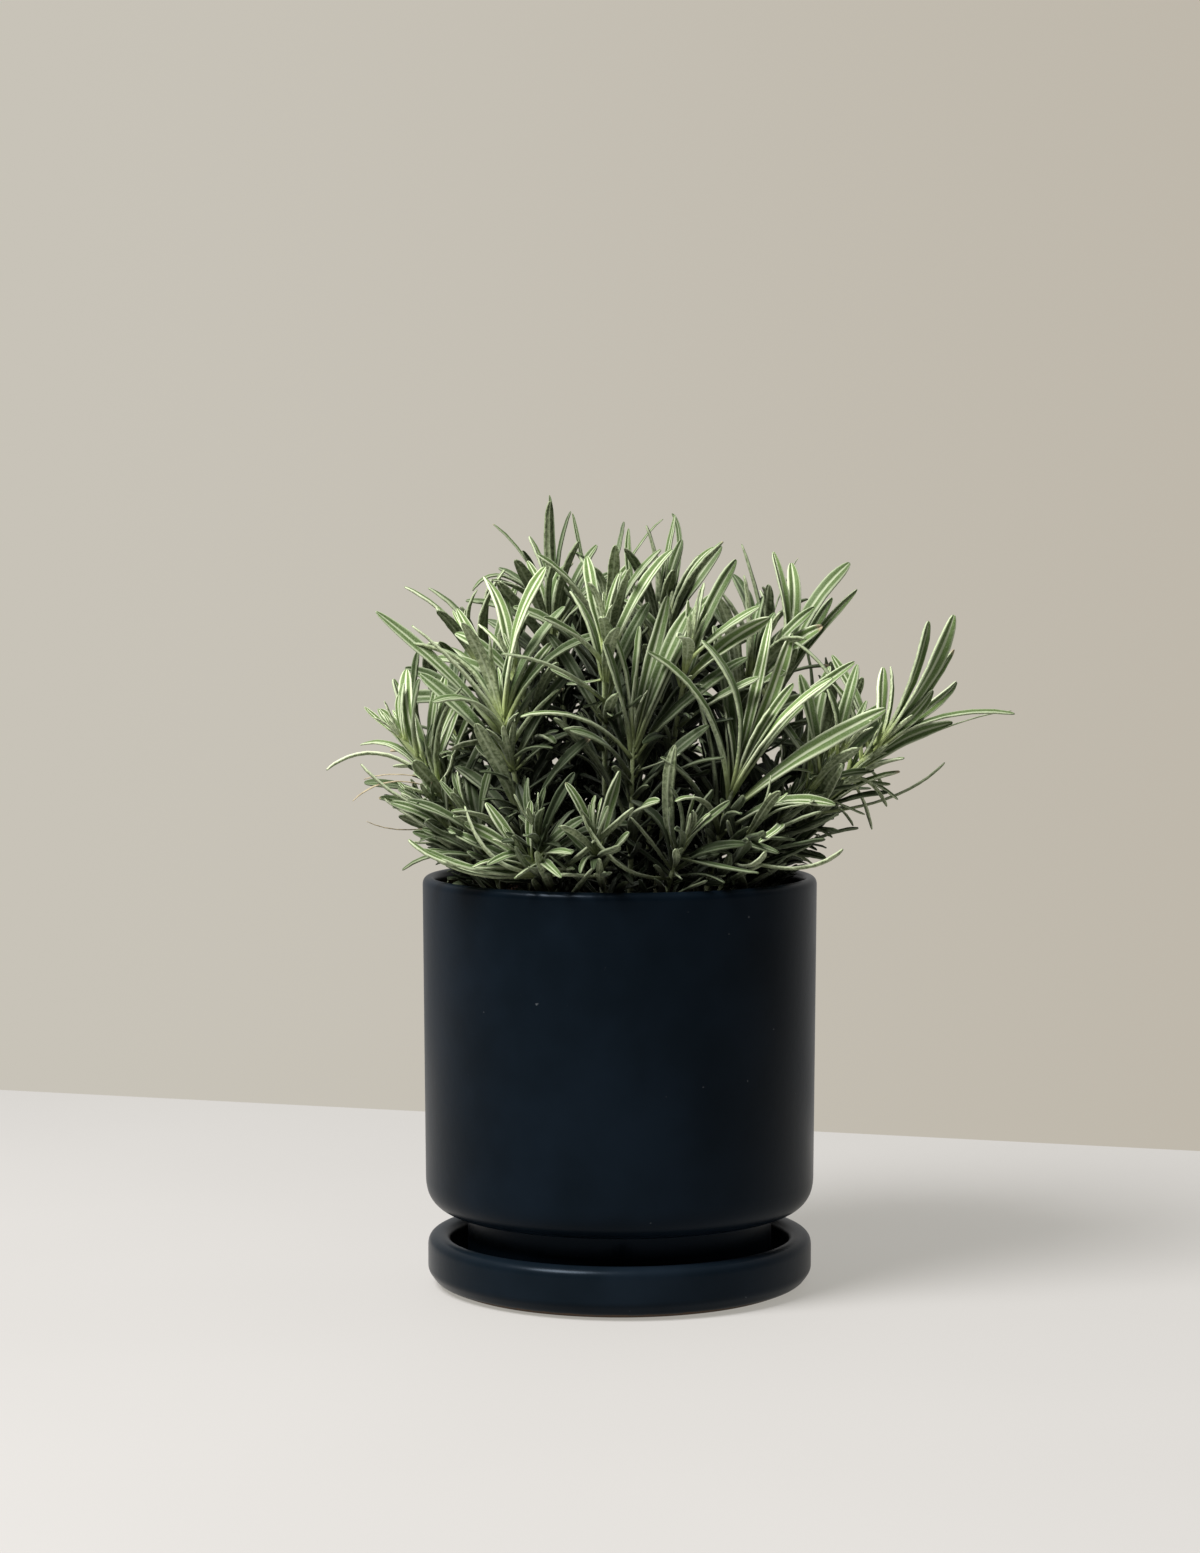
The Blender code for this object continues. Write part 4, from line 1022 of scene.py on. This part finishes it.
class Graph(Nodes):
    """The nodes of a material round one Principled shader."""

    def __init__(self, name, **settings):
        self.material = bpy.data.materials.new(name)
        self.material.use_nodes = True
        super().__init__(self.material.node_tree)
        self.finish(**settings)

    def finish(self, **sockets):
        shader = self.tree.nodes["Principled BSDF"]
        for name, value in sockets.items():
            self.put(shader.inputs[name.replace("_", " ")], value)
        return self.material


def painted_crown_shade(graph):
    """Painted shade: 1 deep inside the dome of foliage, where the leaves are painted darker, 0 at
    its outside, where they get their light.
    """
    offset = graph.node("VectorMath", {0: graph.position(), 1: CROWN_CENTRE},
                        operation="SUBTRACT").outputs["Vector"]
    scaled = graph.node("VectorMath", {0: offset, 1: [1 / size for size in CROWN_SIZE]},
                        operation="MULTIPLY").outputs["Vector"]
    reach = graph.node("VectorMath", {0: scaled}, operation="LENGTH").outputs["Value"]
    return graph.ramp(reach, SHADE_ENDS, SHADE_STARTS)


def leaf_material():
    """Felted leaves: green bands between a pale rib and pale margins, and a grey underside."""
    graph = Graph("leaf_felt", Sheen_Weight=0.12, Sheen_Roughness=0.35, Specular_IOR_Level=0.20,
                  Sheen_Tint=srgb(238, 243, 232))
    across, along, top = graph.channels("place")[:3]
    tone, age, dry = graph.channels("kind")[:3]
    from_rib = graph.maths("ABSOLUTE", graph.scaled(across, 2.0, -1.0))
    rib = graph.ramp(from_rib, 0.24, 0.06)
    margin = graph.ramp(from_rib, 0.60, 0.90)
    felt = graph.noise(2600, 2.0, 0.6)
    mottle = graph.noise(700, 3.0, 0.6)
    patches = graph.ramp(graph.noise(90, 2.0, 0.5), 0.4, 0.75)
    green = graph.mix(tone, (58, 79, 35), (100, 125, 65))
    # darker green with age and with painted shade
    green = graph.tint(green, age, 0.95, 12, 26, 5)
    green = graph.tint(green, patches, 0.5, 84, 102, 62)
    pale = graph.mix(tone, (206, 216, 184), (230, 237, 206))
    pale = graph.tint(pale, age, 0.90, 52, 70, 34)
    striped = graph.scaled(tone, 0.56, 0.30)
    upper = graph.mix(graph.times(rib, striped), green, pale)
    upper = graph.mix(graph.times(margin, striped), upper, pale)
    grey = graph.mix(graph.ramp(mottle, 0.3, 0.7), (96, 110, 72), (180, 191, 152))
    grey = graph.tint(grey, age, 0.85, 22, 38, 11)
    low_rib = graph.scaled(graph.times(rib, age), -0.45, graph.times(rib, 0.6))
    lower = graph.mix(low_rib, grey, (186, 196, 164))
    colour = graph.mix(top, lower, upper)
    fuzz = graph.times(graph.ramp(felt, 0.42, 0.78), graph.scaled(age, -0.16, 0.20))
    colour = graph.mix(fuzz, colour, (198, 208, 180))
    base = graph.times(graph.ramp(along, 0.32, 0.0), graph.scaled(age, -0.75, 0.90))
    colour = graph.mix(base, colour, (184, 200, 126))
    # painted shade: leaves deep inside the crown are darkened
    colour = graph.tint(colour, painted_crown_shade(graph), 0.90, 5, 12, 2)
    withered = graph.ramp(graph.maths("ADD", along, dry), 1.01, 1.06)
    straw = graph.mix(mottle, (104, 92, 72), (186, 174, 146))
    colour = graph.mix(withered, colour, straw)
    normal = graph.bump(mottle, 0.00020, 0.8)
    normal = graph.bump(felt, 0.00012, 0.8, normal)
    return graph.finish(Base_Color=colour, Roughness=graph.scaled(age, -0.14, 0.68),
                        Normal=normal)


def stem_material():
    """Stems: pale green with lighter edges, browner and darker near the soil."""
    graph = Graph("stem_green", Sheen_Weight=0.25, Sheen_Roughness=0.5, Specular_IOR_Level=0.35)
    edge, along, _ = graph.channels("place")[:3]
    tone, age, _ = graph.channels("kind")[:3]
    streaks = graph.noise(1500, 3.0, 0.6)
    colour = graph.mix(tone, (120, 138, 86), (156, 170, 108))
    colour = graph.tint(colour, edge, 0.4, 180, 192, 140)
    colour = graph.tint(colour, age, 0.5, 84, 100, 58)
    colour = graph.mix(graph.ramp(along, 0.45, 0.05), colour, (92, 86, 56))
    # painted shade: stems deep inside the crown are darkened
    colour = graph.tint(colour, painted_crown_shade(graph), 0.6, 16, 20, 9)
    pale_streaks = graph.times(graph.ramp(streaks, 0.4, 0.8), 0.4)
    colour = graph.mix(pale_streaks, colour, (176, 184, 150))
    return graph.finish(Base_Color=colour, Roughness=0.7, Normal=graph.bump(streaks, 0.00012, 0.8))


def glaze_material(name, dark, light, foot_height):
    """Matt dark glaze with faint clouds and specks, and bare clay below the foot's edge."""
    graph = Graph(name, Specular_IOR_Level=0.08, Specular_Tint=srgb(205, 226, 250))
    clouds = graph.ramp(graph.noise(22, 3.0, 0.55), 0.3, 0.7)
    specks = graph.times(graph.ramp(graph.noise(420, 1.0, 0.4), 0.80, 0.86), 0.3)
    colour = graph.mix(clouds, dark, light)
    colour = graph.mix(specks, colour, (120, 124, 128))
    height = graph.node("SeparateXYZ", {"Vector": graph.position()}).outputs["Z"]
    ragged = graph.scaled(graph.noise(260, 3.0, 0.7), -0.0016, height)
    bare = graph.ramp(ragged, foot_height + 0.0002, foot_height - 0.0003)
    clay = graph.mix(graph.noise(900, 3.0, 0.6), (52, 42, 35), (92, 72, 56))
    colour = graph.mix(bare, colour, clay)
    rough = graph.scaled(bare, 0.4, graph.scaled(clouds, 0.06, 0.28))
    normal = graph.bump(graph.noise(240, 2.0, 0.5), 0.00010, 0.35)
    normal = graph.bump(graph.noise(1300, 2.0, 0.6), 0.00003, 0.5, normal)
    return graph.finish(Base_Color=colour, Roughness=rough, Normal=normal)


def soil_material():
    """Dark damp potting soil with browner crumbs."""
    graph = Graph("soil_dark", Specular_IOR_Level=0.3)
    coarse = graph.noise(420, 4.0, 0.65)
    fine = graph.noise(1900, 3.0, 0.7)
    colour = graph.mix(graph.ramp(coarse, 0.35, 0.7), (30, 24, 19), (66, 50, 38))
    colour = graph.mix(graph.ramp(fine, 0.62, 0.8), colour, (104, 84, 62))
    normal = graph.bump(coarse, 0.0006, 0.9)
    normal = graph.bump(fine, 0.0002, 0.8, normal)
    return graph.finish(Base_Color=colour, Roughness=0.92, Normal=normal)


def crumb_material():
    """Crumbs from black peat to brown bark."""
    graph = Graph("soil_crumb", Specular_IOR_Level=0.3)
    tone, bark, _ = graph.channels("kind")[:3]
    grain = graph.noise(1500, 3.0, 0.6)
    peat = graph.mix(tone, (28, 22, 18), (70, 54, 42))
    wood = graph.mix(tone, (78, 54, 36), (132, 98, 66))
    colour = graph.mix(bark, peat, wood)
    colour = graph.tint(colour, grain, 0.4, 40, 30, 24)
    return graph.finish(Base_Color=colour, Roughness=0.9, Normal=graph.bump(grain, 0.0002, 0.8))


def floor_material():
    """A pale floor with faint clouds, which glows a little of itself."""
    graph = Graph("pale_floor", Specular_IOR_Level=0.2, Roughness=0.75,
                  Emission_Strength=FLOOR_GLOW, Emission_Color=srgb(245, 241, 231))
    clouds = graph.ramp(graph.noise(3.0, 2.0, 0.5), 0.2, 0.8)
    colour = graph.mix(clouds, (117, 116, 117), (121, 120, 121))
    return graph.finish(Base_Color=colour, Normal=graph.bump(graph.noise(500), 0.0001, 0.2))


# ---- camera, floor and light ----
def make_camera():
    """The camera, a little above the rim and looking slightly down."""
    data = bpy.data.cameras.new("camera")
    data.lens = CAMERA_LENS
    data.sensor_width = 36
    camera = bpy.data.objects.new("camera", data)
    camera.location = CAMERA_PLACE
    camera.rotation_euler = (math.radians(CAMERA_TILT), 0.0, math.radians(CAMERA_TURN))
    bpy.context.scene.collection.objects.link(camera)
    bpy.context.scene.camera = camera


def make_floor(material):
    """A pale floor whose back edge runs slantwise behind the pot."""
    back = [(x, FLOOR_BACK_CENTRE + FLOOR_BACK_SLOPE * x, 0.0) for x in (FLOOR_REACH, -FLOOR_REACH)]
    front = [(-FLOOR_REACH, -FLOOR_REACH, 0.0), (FLOOR_REACH, -FLOOR_REACH, 0.0)]
    mesh = bpy.data.meshes.new("floor")
    mesh.from_pydata(front + back, [], [(0, 1, 2, 3)])
    mesh.materials.append(material)
    floor = bpy.data.objects.new("floor", mesh)
    bpy.context.scene.collection.objects.link(floor)


def make_key_light():
    """One large soft lamp, up at the left."""
    data = bpy.data.lights.new("key", "AREA")
    data.shape = "DISK"
    data.size = KEY_SIZE
    data.energy = KEY_POWER
    data.color = KEY_COLOUR
    light = bpy.data.objects.new("key", data)
    light.location = KEY_PLACE
    way = Vector(KEY_TARGET) - Vector(KEY_PLACE)
    light.rotation_euler = way.to_track_quat("-Z", "Y").to_euler()
    bpy.context.scene.collection.objects.link(light)


def make_world():
    """A plain wall for the camera, and light from above, behind and the sides.

    The front stays dark, so the pot's face is deep and its edges catch the light.
    """
    world = bpy.data.worlds.new("studio")
    world.use_nodes = True
    nodes = Nodes(world.node_tree)
    wall = nodes.tree.nodes["Background"]
    generated = nodes.node("TexCoord").outputs["Generated"]
    ways = nodes.node("SeparateXYZ", {"Vector": generated}).outputs
    shade = nodes.ramp(ways["X"], -0.2, 0.25)
    nodes.put(wall.inputs["Color"], nodes.mix(shade, WALL_LEFT, WALL_RIGHT))
    top = nodes.ramp(ways["Z"], 0.10, 0.85, 0.02, TOP_LIGHT)
    back = nodes.ramp(ways["Y"], -0.25, 0.60, 0.0, BACK_LIGHT)
    light = nodes.node("Background", {"Color": LIGHT_COLOUR,
                                      "Strength": nodes.maths("ADD", top, back)})
    seen = nodes.node("LightPath").outputs["Is Camera Ray"]
    either = nodes.node("MixShader", {0: seen, 1: light.outputs[0], 2: wall.outputs[0]})
    nodes.put(nodes.tree.nodes["World Output"].inputs["Surface"], either.outputs[0])
    bpy.context.scene.world = world


def main():
    bpy.context.scene.view_settings.view_transform = "Standard"
    make_camera()
    make_world()
    make_floor(floor_material())
    make_key_light()
    make_pot(glaze_material("pot_glaze", (5, 11, 17), (10, 18, 26), 0.0))
    # painted light: the saucer's glaze is the pot's, made a little lighter because the saucer
    # catches more light
    make_saucer(glaze_material("saucer_glaze", (9, 16, 22), (16, 24, 32), SAUCER_BARE))
    make_soil(soil_material())
    make_crumbs(crumb_material())
    nodes = [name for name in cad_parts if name.startswith("shoot_")]
    crowd = Crowd(nodes + ["pot"])
    materials = [leaf_material(), stem_material()]
    stems = [make_shoot(node, crowd, materials) for node in nodes]
    make_loose_leaves(stems, materials[0])


main()
